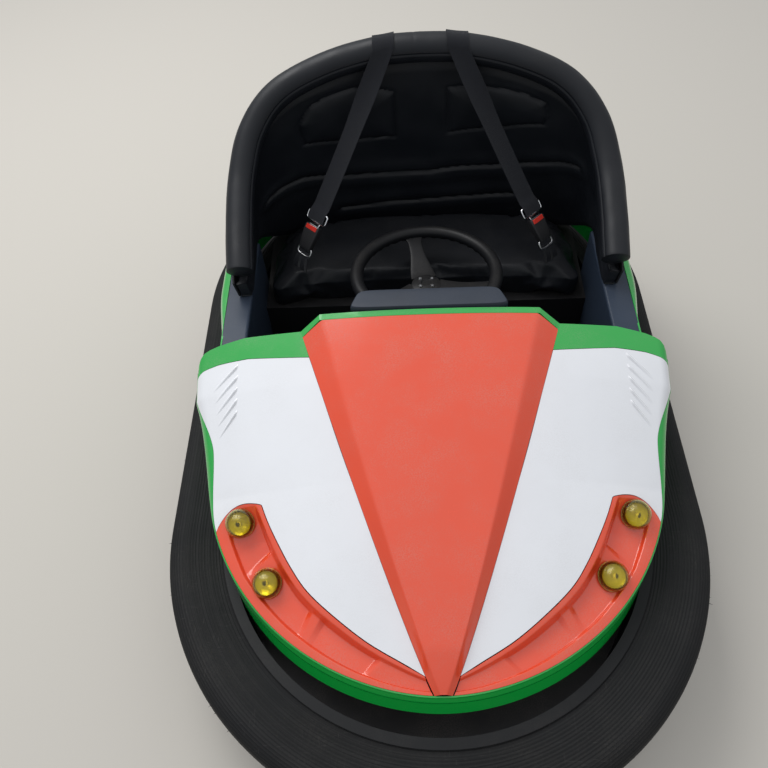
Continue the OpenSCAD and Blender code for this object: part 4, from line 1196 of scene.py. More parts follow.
# %% Four lamps
domes, bases = [], []
for side in (1, -1):
    for number, (row, share) in enumerate(LAMPS):
        place, normal = lamp_place(row, share, bezel_right)
        place, normal = place * [side, 1, 1], normal * [side, 1, 1]
        axes = frame_on(normal)
        mark = f"{'right' if side > 0 else 'left'}_{number}"
        # Profiles: radius, and height above the bezel's floor
        rim = BASE_R + BASE_LIP
        base = [(0.020, -BASE_FOOT), (BASE_R, -BASE_FOOT), (BASE_R, BASE_H - 0.003), (rim, BASE_H - 0.002),
                (rim, BASE_H), (0.0245, BASE_H), (0.0245, BASE_H - 0.001), (0.004, BASE_H - 0.001)]
        bases.append(turned_body("lamp_base_" + mark, base, place, axes, "lamp_base_plastic"))
        shell = arc_profile(DOME_R, 1, 89.9, 16, BASE_H)
        inside = arc_profile(DOME_R - LENS_T, 89.9, 1, 12, BASE_H)
        lens = np.concatenate([shell, inside])
        domes.append(turned_body("lamp_dome_" + mark, lens, place, axes, "amber_lens", steps=150,
                                 ripple=FLUTE_DEPTH, count=FLUTES, sharp=60, loop=True))
        mirror = [(MIRROR_R, BASE_H + 0.006), (0.017, BASE_H + 0.0025), (0.008, BASE_H + 0.001),
                  (SOCKET_R, BASE_H + 0.001), (SOCKET_R, BASE_H), (MIRROR_R, BASE_H)]
        turned_body("lamp_reflector_" + mark, mirror, place, axes, "lamp_mirror", loop=True)
        foot = [(0.0034, BASE_H + 0.001)]
        bulb = np.concatenate([foot, arc_profile(BULB_R, -40, 86, 12, BASE_H + 0.0125)])
        turned_body("lamp_bulb_" + mark, bulb, place, axes, "lamp_bulb", steps=28)
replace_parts(bases[0], "lamp_bases")
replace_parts(domes[0], "lamp_domes")
print("lamps at", [round(float(c), 3) for c in lamp_place(*LAMPS[0], bezel_right)[0]])

# %% [markdown]
# The bumper is a rubber tyre moulded round a steel rim. A bevelled curve would do for its shape, but not
# for the comb ribs that run round it. So it is one profile carried round a stadium, two half circles and
# two straights: a point at depth d from the rim is centre + (rim radius + d) n, where centre slides along
# the middle line on the straights. The ribs are a rounded wave on the profile, and short moulding hairs
# stand on the outer edge.

# %% Bumper
RIM_R = 0.437
BUMPER_R = 0.575
ARC_Y = HALF_LENGTH - BUMPER_R
TYRE_LOW, TYRE_TOP, TYRE_DEPTH, TYRE_BAND = 0.165, 0.290, 0.138, 0.046
RIB_PITCH, RIB_DEPTH = 0.0062, 0.0011
HAIRS, HAIR_R = 44, 0.0009


def stadium(count_arc=116, count_straight=20):
    """Centres and outward directions round the bumper, starting at the right side's front."""
    angle = np.linspace(0, np.pi, count_arc)
    straight = np.linspace(-ARC_Y, ARC_Y, count_straight + 2)[1:-1]
    rear = np.stack([np.cos(angle), np.sin(angle)], 1)
    right = np.repeat([[1.0, 0.0]], count_straight, 0)
    out = np.concatenate([right, rear, -right, -rear])
    middle = np.concatenate([straight, np.full(count_arc, ARC_Y), straight[::-1], np.full(count_arc, -ARC_Y)])
    return np.stack([0 * middle, middle], 1), out


def sweep_stadium(name, profile, look):
    """A profile of (depth, height) carried round the stadium."""
    centre, out = stadium()
    depth, height = np.asarray(profile)[:, 0], np.asarray(profile)[:, 1]
    plan = centre[:, None] + (RIM_R + depth)[None, :, None] * out[:, None]
    points = np.concatenate([plan, np.broadcast_to(height[None, :, None], plan.shape[:2] + (1,))], -1)
    return new_piece(name, points, grid_faces(*points.shape[:2], wrap_rows=True, wrap_columns=True), look)


def tyre_profile():
    """Section of the tyre from its inner lower corner round the outside and back, with ribs on its faces."""
    r = (TYRE_TOP - TYRE_LOW - TYRE_BAND) / 2
    flat = TYRE_DEPTH - r
    foot = np.linspace(0, flat, 60)
    band = np.linspace(TYRE_LOW + r, TYRE_TOP - r, 30)
    low = np.radians(np.linspace(-90, 0, 22))[1:-1]
    high = np.radians(np.linspace(0, 90, 22))[1:-1]
    line = np.concatenate([
        np.stack([foot, 0 * foot + TYRE_LOW], 1),
        np.stack([flat + r * np.cos(low), TYRE_LOW + r + r * np.sin(low)], 1),
        np.stack([0 * band + TYRE_DEPTH, band], 1),
        np.stack([flat + r * np.cos(high), TYRE_TOP - r + r * np.sin(high)], 1),
        np.stack([foot[::-1], 0 * foot + TYRE_TOP], 1)])
    along = unit(np.gradient(line, axis=0))
    run = run_along(line)
    rib = np.clip(1.6 * np.cos(2 * np.pi * run / RIB_PITCH), -1, 1)
    plain = ease(run / 0.02) * ease((run[-1] - run) / 0.02)
    lift = rib * plain * RIB_DEPTH / 2 - RIB_DEPTH / 2
    return line + lift[:, None] * np.stack([along[:, 1], -along[:, 0]], 1)


print("tyre section:", len(tyre_profile()), "points")

# %% Moulding hairs


def hairs():
    """Short cones on the tyre's outer edge, at jittered places from a fixed seed."""
    chance = np.random.default_rng(7)
    centre, out = stadium()
    pick = np.sort(chance.choice(len(out), HAIRS, replace=False))
    root = centre[pick] + (RIM_R + TYRE_DEPTH - 0.0025) * out[pick]
    height = chance.uniform(TYRE_TOP - 0.055, TYRE_TOP - 0.030, HAIRS)
    root = np.concatenate([root, height[:, None]], 1)
    out = np.concatenate([out[pick], chance.uniform(-0.2, 0.5, (HAIRS, 1))], 1)
    tip = root + out * chance.uniform(0.006, 0.012, (HAIRS, 1))
    turn = np.linspace(0, 2 * np.pi, 5, endpoint=False)
    side = unit(np.cross(out, [0.0, 0.0, 1.0]))
    up = unit(np.cross(side, out))
    turned_out = np.cos(turn)[:, None] * side[:, None] + np.sin(turn)[:, None] * up[:, None]
    ring = root[:, None] + HAIR_R * turned_out
    points = np.concatenate([ring, tip[:, None]], 1)
    faces = [[6 * k + (j + 1) % 5, 6 * k + j, 6 * k + 5] for k in range(HAIRS) for j in range(5)]
    faces += [[6 * k + j for j in range(5)] for k in range(HAIRS)]
    return new_piece("tyre_hairs", points, faces, "bumper_rubber")


print("hairs:", HAIRS)

# %% Bumper made
tyre = sweep_stadium("bumper_tyre_ribbed", tyre_profile(), "bumper_rubber")
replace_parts(tyre, "bumper_tyre")
hairs()
round_edges(cad["bumper_rim"], 0.0015)
print("tyre:", len(tyre.data.polygons), "faces round", round(4 * ARC_Y + 2 * math.pi * BUMPER_R, 3), "m")

# %% [markdown]
# The backrest wraps round the seat from arm to arm under a padded roll. Both hang on two curves, so that
# they always meet: the roll's middle line and the padding's lower edge, each a Catmull-Rom spline from the
# arm's end to the top. The sheet between them is straight from one to the other.

# %% Backrest curves
ROLL_R = 0.031
BACK_T = 0.026
SEAT_Z, SEAT_T, SEAT_FRONT_Y = 0.416, 0.076, 0.236
# Right half from the arm's end to the middle: across, back and up
ROLL_PATH = 0.001 * np.array([
    [414, 150, 566], [417, 250, 612], [412, 350, 664], [385, 430, 728],
    [320, 485, 786], [210, 513, 828], [90, 528, 851], [0, 531, 855]])
BACK_LOW = 0.001 * np.array([
    [402, 150, 490], [404, 240, 490], [404, 330, 490], [384, 440, 400],
    [320, 500, 352], [210, 522, 342], [90, 528, 342], [0, 529, 342]])


def half_path(rows, s):
    """The curve at s from -1 (left arm) over 0 (top) to 1 (right arm)."""
    s = np.asarray(s, float)
    return spline(rows, 1 - np.abs(s)) * np.stack([np.where(s < 0, -1, 1), 1 + 0 * s, 1 + 0 * s], -1)


def along_path(rows, s):
    """Unit direction of the curve at s."""
    return unit(half_path(rows, np.minimum(1, s + 0.02)) - half_path(rows, np.maximum(-1, s - 0.02)))


def roll_axes(s):
    """Direction along the roll, up from it, and inwards towards the seat."""
    along = along_path(ROLL_PATH, s)
    tilt = np.array([0, -0.5, 1.0])
    up = unit(tilt - (along @ tilt)[..., None] * along)
    return along, up, np.cross(along, up)


def back_point(s, h):
    """Point of the padding's face and its outward direction: s across, h from the lower edge up."""
    low, top = half_path(BACK_LOW, s), half_path(ROLL_PATH, s)
    up = unit(top - low)
    lean = np.linalg.norm(np.cross(up, along_path(ROLL_PATH, s)), axis=-1, keepdims=True)
    high = top - (ROLL_R + 0.0006) / lean * up
    flat = along_path(BACK_LOW, s) * [1, 1, 0]
    out = np.stack([flat[..., 1], -flat[..., 0], 0 * flat[..., 0]], -1)
    return lerp(low, high, h[..., None]), unit(out)


print("roll's top at", [round(float(c), 3) for c in half_path(ROLL_PATH, 0.0)])

# %% Swelling and stitches


def wobble(points, size, seed):
    """Slow uneven swelling of a soft piece: a few sine waves of random direction, at most one in size."""
    chance = np.random.default_rng(seed)
    total = 0
    for _ in range(7):
        wave = chance.normal(size=3) * 2 * np.pi / size
        total = total + np.sin(points @ wave + chance.uniform(0, 6.3)) / 7
    return total


STITCH_PITCH, STITCH_L, STITCH_R = 0.0065, 0.0042, 0.0005


def stitches(name, path, out):
    """A row of sewn stitches: small double cones along a path, a little above the surface."""
    step = run_along(path)
    marks = np.arange(STITCH_PITCH / 2, step[-1], STITCH_PITCH)
    centre, lift = read_rows(marks, step, path), unit(read_rows(marks, step, out))
    along = unit(read_rows(marks + 0.001, step, path) - read_rows(marks - 0.001, step, path))
    side = np.cross(lift, along)
    half = along * STITCH_L / 2
    points = np.stack([centre - half, centre + half, centre + side * STITCH_R, centre - side * STITCH_R,
                       centre + lift * STITCH_R, centre - lift * STITCH_R], 1)
    shape = [(0, 2, 5), (2, 1, 5), (1, 3, 5), (3, 0, 5), (2, 0, 4), (1, 2, 4), (3, 1, 4), (0, 3, 4)]
    faces = [[6 * k + c for c in f] for k in range(len(marks)) for f in shape]
    return new_piece(name, points, faces, "stitch_thread", sharp=80)


roll_line = half_path(ROLL_PATH, np.linspace(-1, 1, 200))
print("roll's length:", round(float(run_along(roll_line)[-1]), 3), "m")

# %% [markdown]
# The roll is foam in sewn vinyl. A plain bent tube looks like pipe, so this is a ring swept along the curve
# whose radius swells slowly by half a millimetre, dips at a sewn seam along its inner side and at a joint
# beside the middle, and rounds off over the last millimetres to its flat cut ends.

# %% Padded roll
SEAM_ANGLE, SEAM_DEPTH, STITCH_ANGLE = 62.0, 0.0016, 7.5
JOINT_S = -0.035


def roll_surface(s, angle):
    """Point of the roll: centre + radius (cos g up + sin g inwards), grooved at its seam and its joint."""
    centre = half_path(ROLL_PATH, s)
    up, inward = roll_axes(s)[1:]
    ring = np.cos(angle)[..., None] * up + np.sin(angle)[..., None] * inward
    seam = np.exp(-(((np.degrees(angle) - SEAM_ANGLE + 180) % 360 - 180) / 3.2) ** 2)
    joint = np.exp(-((s - JOINT_S) / 0.0022) ** 2)
    end = np.sqrt(1 - np.clip((np.abs(s) - 0.992) / 0.008, 0, 1) ** 2 * 0.35)
    swell = 1 + 0.018 * wobble(centre + ring * ROLL_R, 0.16, 3)
    radius = ROLL_R * end * swell - SEAM_DEPTH * np.maximum(seam, joint)
    return centre + radius[..., None] * ring, ring


ROLL_ROWS, ROLL_SIDES = 340, 80
roll_turn = np.linspace(0, 2 * np.pi, ROLL_SIDES, endpoint=False)
s_grid, g_grid = np.meshgrid(np.linspace(-1, 1, ROLL_ROWS), roll_turn, indexing="ij")
roll_points = roll_surface(s_grid, g_grid)[0]
roll_faces = [f[::-1] for f in grid_faces(ROLL_ROWS, ROLL_SIDES, wrap_columns=True)]
roll_faces += end_caps(ROLL_ROWS, ROLL_SIDES)
roll = new_piece("roll_cover", roll_points, roll_faces, "black_vinyl")
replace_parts(roll, "back_roll")
for number, off in enumerate((-STITCH_ANGLE, STITCH_ANGLE)):
    s_line = np.linspace(-0.985, 0.985, 600)
    row, lift = roll_surface(s_line, np.full(600, math.radians(SEAM_ANGLE + off)))
    stitches(f"roll_stitch_{number}", row, lift)
print("roll:", len(roll_faces), "faces")

# %% [markdown]
# The backrest's face is vinyl over foam, sewn through along a few lines, with two head pads. Cloth could be
# pinned along the lines, but would take long and land anywhere. A height on the sheet keeps the lines where
# the photo has them: it sinks near a line by depth x exp(-(distance / width)^2), and the head pads swell
# inside their outlines.

# %% Backrest padding
SHEET_W, SHEET_H = 0.62, 0.44
HEAD_PUFF, HEAD_SEAM, LINE_SINK, LINE_SWELL = 0.010, 0.0035, 0.006, 0.003
# Shares of the sheet over which the puff fades at its sides, foot and top
RIM_FADE = (0.04, 0.06, 0.05)
# Lines on the sheet: across from -1 to 1, and up as a share of its height
HEAD_LEFT = [(-0.105, 0.60), (-0.24, 0.62), (-0.375, 0.685), (-0.385, 0.82), (-0.345, 0.90), (-0.29, 0.92),
             (-0.22, 0.915), (-0.16, 0.885), (-0.105, 0.85), (-0.105, 0.60)]
HEAD_RIGHT = [(0.110, 0.61), (0.26, 0.675), (0.385, 0.765), (0.395, 0.82), (0.38, 0.895), (0.32, 0.905),
              (0.25, 0.895), (0.185, 0.885), (0.105, 0.86), (0.110, 0.61)]
LINE_A = [(-0.60, 0.42), (-0.555, 0.445), (-0.47, 0.457), (-0.395, 0.455), (-0.325, 0.43), (-0.26, 0.395),
          (-0.13, 0.375), (0.05, 0.375), (0.25, 0.425), (0.39, 0.495), (0.515, 0.60), (0.56, 0.63)]
LINE_B = [(-0.285, 0.17), (-0.15, 0.175), (0.05, 0.185), (0.19, 0.205), (0.32, 0.24)]


def to_line(s, h, line):
    """Distance in metres from points of the sheet to a line of (s, h) points."""
    here = np.stack([s * SHEET_W, h * SHEET_H], -1)
    line = np.array(line) * [SHEET_W, SHEET_H]
    best = np.full(s.shape, 9.0)
    for a, b in zip(line[:-1], line[1:]):
        share = np.clip(((here - a) @ (b - a)) / ((b - a) @ (b - a)), 0, 1)
        best = np.minimum(best, np.linalg.norm(here - a - share[..., None] * (b - a), axis=-1))
    return best


def in_loop(s, h, loop):
    """Whether points lie inside a closed line, by counting its crossings of a ray."""
    inside = np.zeros(s.shape, bool)
    for (s0, h0), (s1, h1) in zip(loop[:-1], loop[1:]):
        crosses = (h0 > h) != (h1 > h)
        if h0 != h1:
            inside ^= crosses & (s < s0 + (h - h0) / (h1 - h0) * (s1 - s0))
    return inside


def back_puff(s, h):
    """How far the padding's face stands out, in metres."""
    rim = ease((1 - np.abs(s)) / RIM_FADE[0]) * ease(h / RIM_FADE[1]) * ease((1 - h) / RIM_FADE[2])
    puff = 0.004 + 0.0015 * wobble(np.stack([s, h, 0 * s], -1) * [SHEET_W, SHEET_H, 1], 0.2, 5)
    for loop in (HEAD_LEFT, HEAD_RIGHT):
        edge = to_line(s, h, loop)
        puff = puff + np.where(in_loop(s, h, loop), HEAD_PUFF * (1 - np.exp(-edge / 0.018)), 0)
        puff = puff - HEAD_SEAM * np.exp(-(edge / HEAD_SEAM) ** 2)
    for line in (LINE_A, LINE_B):
        edge = to_line(s, h, line)
        beside = LINE_SWELL * np.exp(-((edge - 0.020) / 0.016) ** 2)
        puff = puff - LINE_SINK * np.exp(-(edge / 0.0045) ** 2) + beside
    return puff * rim


def back_face(s, h, more=0.0):
    """Points of the padding's puffed face, and its outward directions."""
    flat, out = back_point(s, h)
    return flat + (back_puff(s, h) + more)[..., None] * out, out


# The sewn lines by name
SEWN = (("head_left", HEAD_LEFT), ("head_right", HEAD_RIGHT), ("lumbar", LINE_A), ("low", LINE_B))
print("sewn lines:", len(SEWN))

# %% Padding made
s_grid, h_grid = np.meshgrid(np.linspace(-1, 1, 276), np.linspace(0, 1, 120), indexing="ij")
face = back_face(s_grid, h_grid)[0]
pad = new_piece("back_cover", face, grid_faces(*face.shape[:2]), "black_vinyl")
add_modifier(pad, "SOLIDIFY", thickness=BACK_T - 0.002, offset=-1)
round_edges(pad, 0.004, segments=3)
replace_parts(pad, "back_pad")
for name, line in SEWN:
    line = np.array(line)
    run = np.linspace(0, len(line) - 1, 900)
    s_line, h_line = (np.interp(run, np.arange(len(line)), line[:, c]) for c in (0, 1))
    row, lift = back_face(s_line, h_line, 0.0004)
    stitches("back_stitch_" + name, row, lift)
print("padding:", face.shape[0] * face.shape[1], "points")

# %% [markdown]
# The seat cushion is a stuffed bag, the softest piece of the car, so it is blown up rather than drawn. It
# starts as a closed block a little smaller than the cushion, is cut into even 6 mm faces, and is blown up
# as cloth with no gravity. Its movement is then held under a cap, so that it stays in its place between
# sills and padding.

# %% Seat cushion
CUSHION_SHRINK = 0.009
CUSHION_CAP = 0.024
CUSHION_PRESSURE = 4.0


def cushion_outline(shrink):
    """Plan of the cushion: rounded front corners, straight sides, and a back that follows the padding."""
    side = SILL_IN - 0.005 - shrink
    angle = np.radians(np.linspace(0, 90, 8))
    front_y = SEAT_FRONT_Y + shrink
    front = np.stack([side - 0.024 * (1 - np.sin(angle)), front_y + 0.024 * (1 - np.cos(angle))], 1)
    back = spline(BACK_LOW, np.linspace(0.28, 1, 30))[:, :2] - [0.004 + shrink, 0.004 + shrink]
    back[:, 0] = np.clip(back[:, 0], 0, side)
    half = np.concatenate([front, back])
    return np.concatenate([half, (half * [-1, 1])[::-1][1:]])


def block(name, plan, low, high, look):
    """A closed block over a plan, with its two ends as single faces."""
    n = len(plan)
    points = np.concatenate([np.concatenate([plan, np.full((n, 1), z)], 1) for z in (low, high)])
    faces = [[k, (k + 1) % n, n + (k + 1) % n, n + k] for k in range(n)]
    faces += end_caps(2, n)
    return new_piece(name, points, faces, look)


print("cushion plan:", len(cushion_outline(CUSHION_SHRINK)), "points")

# %% Blowing up as cloth


def coords(mesh):
    """A mesh's points as an array."""
    flat = np.empty(len(mesh.vertices) * 3)
    mesh.vertices.foreach_get("co", flat)
    return flat.reshape(-1, 3)


def evaluated_copy(piece):
    """A new mesh with the piece's modifiers applied."""
    bpy.context.view_layer.update()
    return bpy.data.meshes.new_from_object(piece.evaluated_get(bpy.context.evaluated_depsgraph_get()))


def blow_up(piece, pressure, cap, voxel=0.006, frames=20):
    """Cuts the piece into even faces, blows it up as cloth, and keeps each point's movement under the cap."""
    add_modifier(piece, "REMESH", mode="VOXEL", voxel_size=voxel)
    mesh = evaluated_copy(piece)
    piece.modifiers.clear()
    piece.data = mesh
    start = coords(mesh)
    cloth = piece.modifiers.new("cloth", "CLOTH").settings
    cloth.use_pressure = True
    cloth.uniform_pressure_force = pressure
    cloth.effector_weights.gravity = 0
    cloth.tension_stiffness = 25
    cloth.compression_stiffness = 25
    cloth.bending_stiffness = 2
    cloth.mass = 0.3
    scene = bpy.context.scene
    piece.modifiers["cloth"].point_cache.frame_end = frames
    for frame_number in range(1, frames + 1):
        scene.frame_set(frame_number)
    moved = coords(evaluated_copy(piece)) - start
    piece.modifiers.clear()
    scene.frame_set(1)
    size = np.linalg.norm(moved, axis=1, keepdims=True)
    moved *= np.minimum(1, cap / np.maximum(size, 1e-9))
    mesh.vertices.foreach_set("co", (start + moved).ravel())
    mesh.polygons.foreach_set("use_smooth", np.ones(len(mesh.polygons), bool))
    mesh.update()
    return float(size.max())


print("cap on the cushion's movement:", CUSHION_CAP, "m")

# %% Cushion made
cushion = block("seat_cushion_cover", cushion_outline(CUSHION_SHRINK), SEAT_Z - SEAT_T + 0.003,
                SEAT_Z - CUSHION_SHRINK - 0.004, "black_vinyl")
print("cushion moved at most", round(blow_up(cushion, CUSHION_PRESSURE, CUSHION_CAP), 4), "m")
add_modifier(cushion, "SUBSURF", levels=1, render_levels=1)
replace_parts(cushion, "seat_cushion")
print("cushion:", len(cushion.data.polygons), "faces")

# %% [markdown]
# The dash pad is a small domed cushion in front of the steering wheel, a rounded trapezoid in plan. It
# could be blown up too, but it is firm and even. So rings of its outline shrink towards the middle while
# they rise along a quarter ellipse.

# %% Dash pad
DASH_W, DASH_DEPTH, DASH_TAPER, DASH_T = 0.335, 0.050, 0.020, 0.024
DASH_LOW, DASH_FRONT, DASH_DOME = 0.5793, 0.002, 0.012


def dash_outline():
    """Trapezoid with rounded corners, as a superellipse whose width shrinks towards the back."""
    x, y = rounded_square(200, 0.16, 0.34)
    width = DASH_W / 2 - DASH_TAPER * (y + 1) / 2
    return np.stack([x * width, DASH_FRONT + DASH_DEPTH * (y + 1) / 2], 1)


def dash_pad():
    """Rings from the underside's middle round the edge and over the domed top."""
    plan = dash_outline()
    middle = np.array([0.0, DASH_FRONT + DASH_DEPTH / 2])
    rise = np.radians(np.linspace(0, 90, 16))
    spring = DASH_T - DASH_DOME
    rings = [(0.9, 0.0), (0.985, 0.0), (1.0, 0.0025), (1.0, spring)]
    rings += [(1 - 0.09 * (1 - math.cos(a)), spring + DASH_DOME * math.sin(a)) for a in rise[1:]]
    rings += [(0.6, DASH_T + 0.0006), (0.3, DASH_T + 0.0008)]
    points = []
    for share, height in rings:
        flat = middle + (plan - middle) * [1 - (1 - share) * 0.35, share]
        points.append(np.concatenate([flat, np.full((len(flat), 1), DASH_LOW + height)], 1))
    points = np.array(points)
    faces = [f[::-1] for f in grid_faces(*points.shape[:2], wrap_columns=True)]
    faces += end_caps(len(rings), len(plan))
    return new_piece("dash_cover", points, faces, "dash_vinyl")


dash = dash_pad()
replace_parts(dash, "dash_pad")
print("dash pad", DASH_W, "x", DASH_DEPTH, "m")

# %% [markdown]
# A sill is a moulded board beside the seat: its top, a rounded inner edge and a liner down to the floor.
# Three boards would show seams that the real piece hasn't, so it is one bent strip, thickened as a panel.

# %% Sills
SILL_BACK_Y, FLOOR_TOP, SILL_EDGE_R = 0.326, 0.155, 0.006


def sill_grid():
    """The right sill's section, over from its outer edge and down at the inner one, carried front to back."""
    corner = np.radians(np.linspace(90, 180, 8))
    r = SILL_EDGE_R
    top = np.stack([np.linspace(BODY_HALF_W - 0.0236, SILL_IN + r, 6), np.full(6, SILL_Z)], 1)
    bend = np.stack([SILL_IN + r + r * np.cos(corner), SILL_Z - r + r * np.sin(corner)], 1)
    liner = np.stack([np.full(6, SILL_IN), np.linspace(SILL_Z - r - 0.01, FLOOR_TOP, 6)], 1)
    section = np.concatenate([top, bend, liner])[::-1]
    y = np.linspace(SPLIT_Y, SILL_BACK_Y, 40)
    x = np.broadcast_to(section[None, :, 0], (40, len(section)))
    z = np.broadcast_to(section[None, :, 1], (40, len(section)))
    return np.stack([x, np.broadcast_to(y[:, None], x.shape), z], -1)[::-1]


sill_right = sill_grid()
for side, grid in (("right", sill_right), ("left", turned(sill_right))):
    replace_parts(panel("sill_board_" + side, grid, "sill_plastic", thick=0.004, edge=0.0015), "sill_" + side)
print("sills", round(SILL_BACK_Y - SPLIT_Y, 3), "m long")

# %% [markdown]
# A belt's webbing runs from behind the backrest, half round the roll and straight down to its tongue and
# buckle. Cloth would settle elsewhere than in the photo, and the strap hangs taut, so it is drawn along its
# line. Its width turns slowly from the roll's direction to the tongue's, and its own map of across and
# along carries the weave.

# %% Belts
BELT_W, BELT_T = 0.048, 0.0016
BELT_BACK_L = 0.150
BELT_FALL = math.radians(58)
BELT_OVER = spline(ROLL_PATH, 0.87)
BELT_BEND = ROLL_R + 0.0012
BELT_TOP = BELT_OVER + BELT_BEND * np.array([0, -math.sin(BELT_FALL), math.cos(BELT_FALL)])
BELT_FOOT = np.array([0.330, 0.226, 0.424])
BELT_DOWN = unit(BELT_FOOT - BELT_TOP)
BELT_L = float(np.linalg.norm(BELT_FOOT - BELT_TOP))
BELT_ACROSS = unit(np.array([1, -BELT_DOWN[0] / BELT_DOWN[1], 0]))
BELT_UP = np.cross(BELT_DOWN, BELT_ACROSS)
TONGUE_AT = 0.66 * BELT_L
STUB_L, STUB_NARROW, STUB_WIDE = 0.046, 0.033, 0.046
# Bars along the belt: place after the tongue, half width, half thickness, height above the belt
TONGUE_PLATE = ((0.016, 0.016, 0.001, 0.002), (0.018, 0.017, 0.0012, 0.002), (0.034, 0.012, 0.0012, 0.002),
                (0.040, 0.012, 0.0012, 0.002))
BUCKLE_CASE = ((0.027, 0.0170, 0.004, 0.001), (0.028, 0.0200, 0.0075, 0.001), (0.031, 0.0212, 0.0088, 0.001),
               (0.040, 0.0215, 0.0092, 0.001), (0.062, 0.0195, 0.0090, 0.001), (0.082, 0.0175, 0.0082, 0.001),
               (0.086, 0.0165, 0.0070, 0.001), (0.087, 0.0140, 0.0045, 0.001))
BUCKLE_BUTTON = ((0.0285, 0.0150, 0.0030, 0.0065), (0.0290, 0.0165, 0.0040, 0.0070),
                 (0.0385, 0.0165, 0.0040, 0.0071), (0.0392, 0.0150, 0.0030, 0.0068))


def belt_place(points):
    """Points given across, down and out of the belt, put where the right belt's straight run lies."""
    return BELT_TOP + np.asarray(points, float) @ np.stack([BELT_ACROSS, BELT_DOWN, BELT_UP])


def sided(points, faces, side):
    """The right side's points and faces, or their mirror image."""
    points = np.asarray(points).reshape(-1, 3)
    return (points, faces) if side > 0 else (points * [-1, 1, 1], [list(f)[::-1] for f in faces])


def webbing_strip(name, grid, side):
    """A woven strip from rows of points across it, with a map of across and along in metres."""
    rows, columns = grid.shape[:2]
    points, faces = sided(grid, grid_faces(rows, columns), side)
    piece = new_piece(name, points, faces, "belt_webbing")
    run, wide = run_along(grid[:, columns // 2]), run_along(grid[0])
    flat = np.stack(np.broadcast_arrays(wide[None, :], run[:, None]), -1).reshape(-1, 2)
    corners = np.empty(len(piece.data.loops), np.int32)
    piece.data.loops.foreach_get("vertex_index", corners)
    piece.data.uv_layers.new(name="weave").data.foreach_set("uv", flat[corners].ravel().astype(np.float32))
    add_modifier(piece, "SOLIDIFY", thickness=BELT_T, offset=-1)
    round_edges(piece, 0.0005, angle=60, segments=2)
    return piece, float(run[-1])


def belt_grid(columns=9):
    """Rows of the right belt's webbing from behind the backrest to the tongue."""
    turn = np.linspace(0, np.pi / 2 + BELT_FALL, 26)
    back = np.linspace(-BELT_BACK_L, -0.012, 6)
    behind = BELT_OVER + np.stack([0 * back, 0 * back + BELT_BEND, back], 1)
    bend = BELT_OVER + BELT_BEND * np.stack([0 * turn, np.cos(turn), np.sin(turn)], 1)
    run = np.linspace(0, TONGUE_AT + 0.017, 60)[1:, None]
    sag = 0.004 * np.sin(np.pi * run / TONGUE_AT)
    lift = 0.0045 * ease((run - TONGUE_AT + 0.020) / 0.014) - sag
    straight = BELT_TOP + run * BELT_DOWN + lift * BELT_UP
    line = np.concatenate([behind, bend, straight])
    first = unit(spline(ROLL_PATH, 0.84) - spline(ROLL_PATH, 0.9))
    share = np.concatenate([np.zeros(len(behind) + len(bend)), ease(run[:, 0] / 0.20)])[:, None]
    across = unit(lerp(first, BELT_ACROSS, share))
    v = np.linspace(-0.5, 0.5, columns)[None, :, None]
    along = unit(np.gradient(line, axis=0))
    out = unit(np.cross(across, along))
    crown = 0.0008 * (1 - (2 * v) ** 2)
    return (line[:, None] + v * BELT_W * across[:, None] + crown * out[:, None])[:, ::-1]


print("belt falls", round(BELT_L, 3), "m")

# %% Bars and wires


def loft(name, rows, look, side=1, power=0.3, count=40, place=belt_place, body="chassis"):
    """A rounded bar through stations (along, half width, half thickness, height): each a superellipse."""
    x, z = rounded_square(count, power, power)
    rows = np.asarray(rows, float)[:, :, None]
    local = np.stack([rows[:, 1] * x, rows[:, 0] + 0 * x, rows[:, 3] + rows[:, 2] * z], -1)
    faces = grid_faces(len(rows), count, wrap_columns=True) + [f[::-1] for f in end_caps(len(rows), count)]
    points, faces = sided(place(local), faces, side)
    return new_piece(name, points, faces, look, body=body)


def loop_tube(name, path, radius, look, side=1, sides=14, flat=1.0, body="chassis"):
    """A closed wire along a loop, its section an ellipse flat times as high as wide."""
    along = unit(np.roll(path, -1, axis=0) - np.roll(path, 1, axis=0))
    normal = unit(np.cross(along, np.roll(along, -len(path) // 4, axis=0)).mean(axis=0))
    outward = np.cross(along, normal)
    angle = np.linspace(0, 2 * np.pi, sides, endpoint=False)[None, :, None]
    points = path[:, None] + radius * (np.cos(angle) * outward[:, None] + flat * np.sin(angle) * normal)
    points, faces = sided(points, grid_faces(len(path), sides, True, True), side)
    return new_piece(name, points, faces, look, body=body)


def rounded_loop(width, length, middle, height, power=0.35):
    """A rounded rectangle in the belt's own plane."""
    x, y = rounded_square(72, power, power)
    return belt_place(np.stack([x * width / 2, middle + y * length / 2, 0 * x + height], -1))


print("tongue at", round(TONGUE_AT, 3), "m")

# %% Both belts


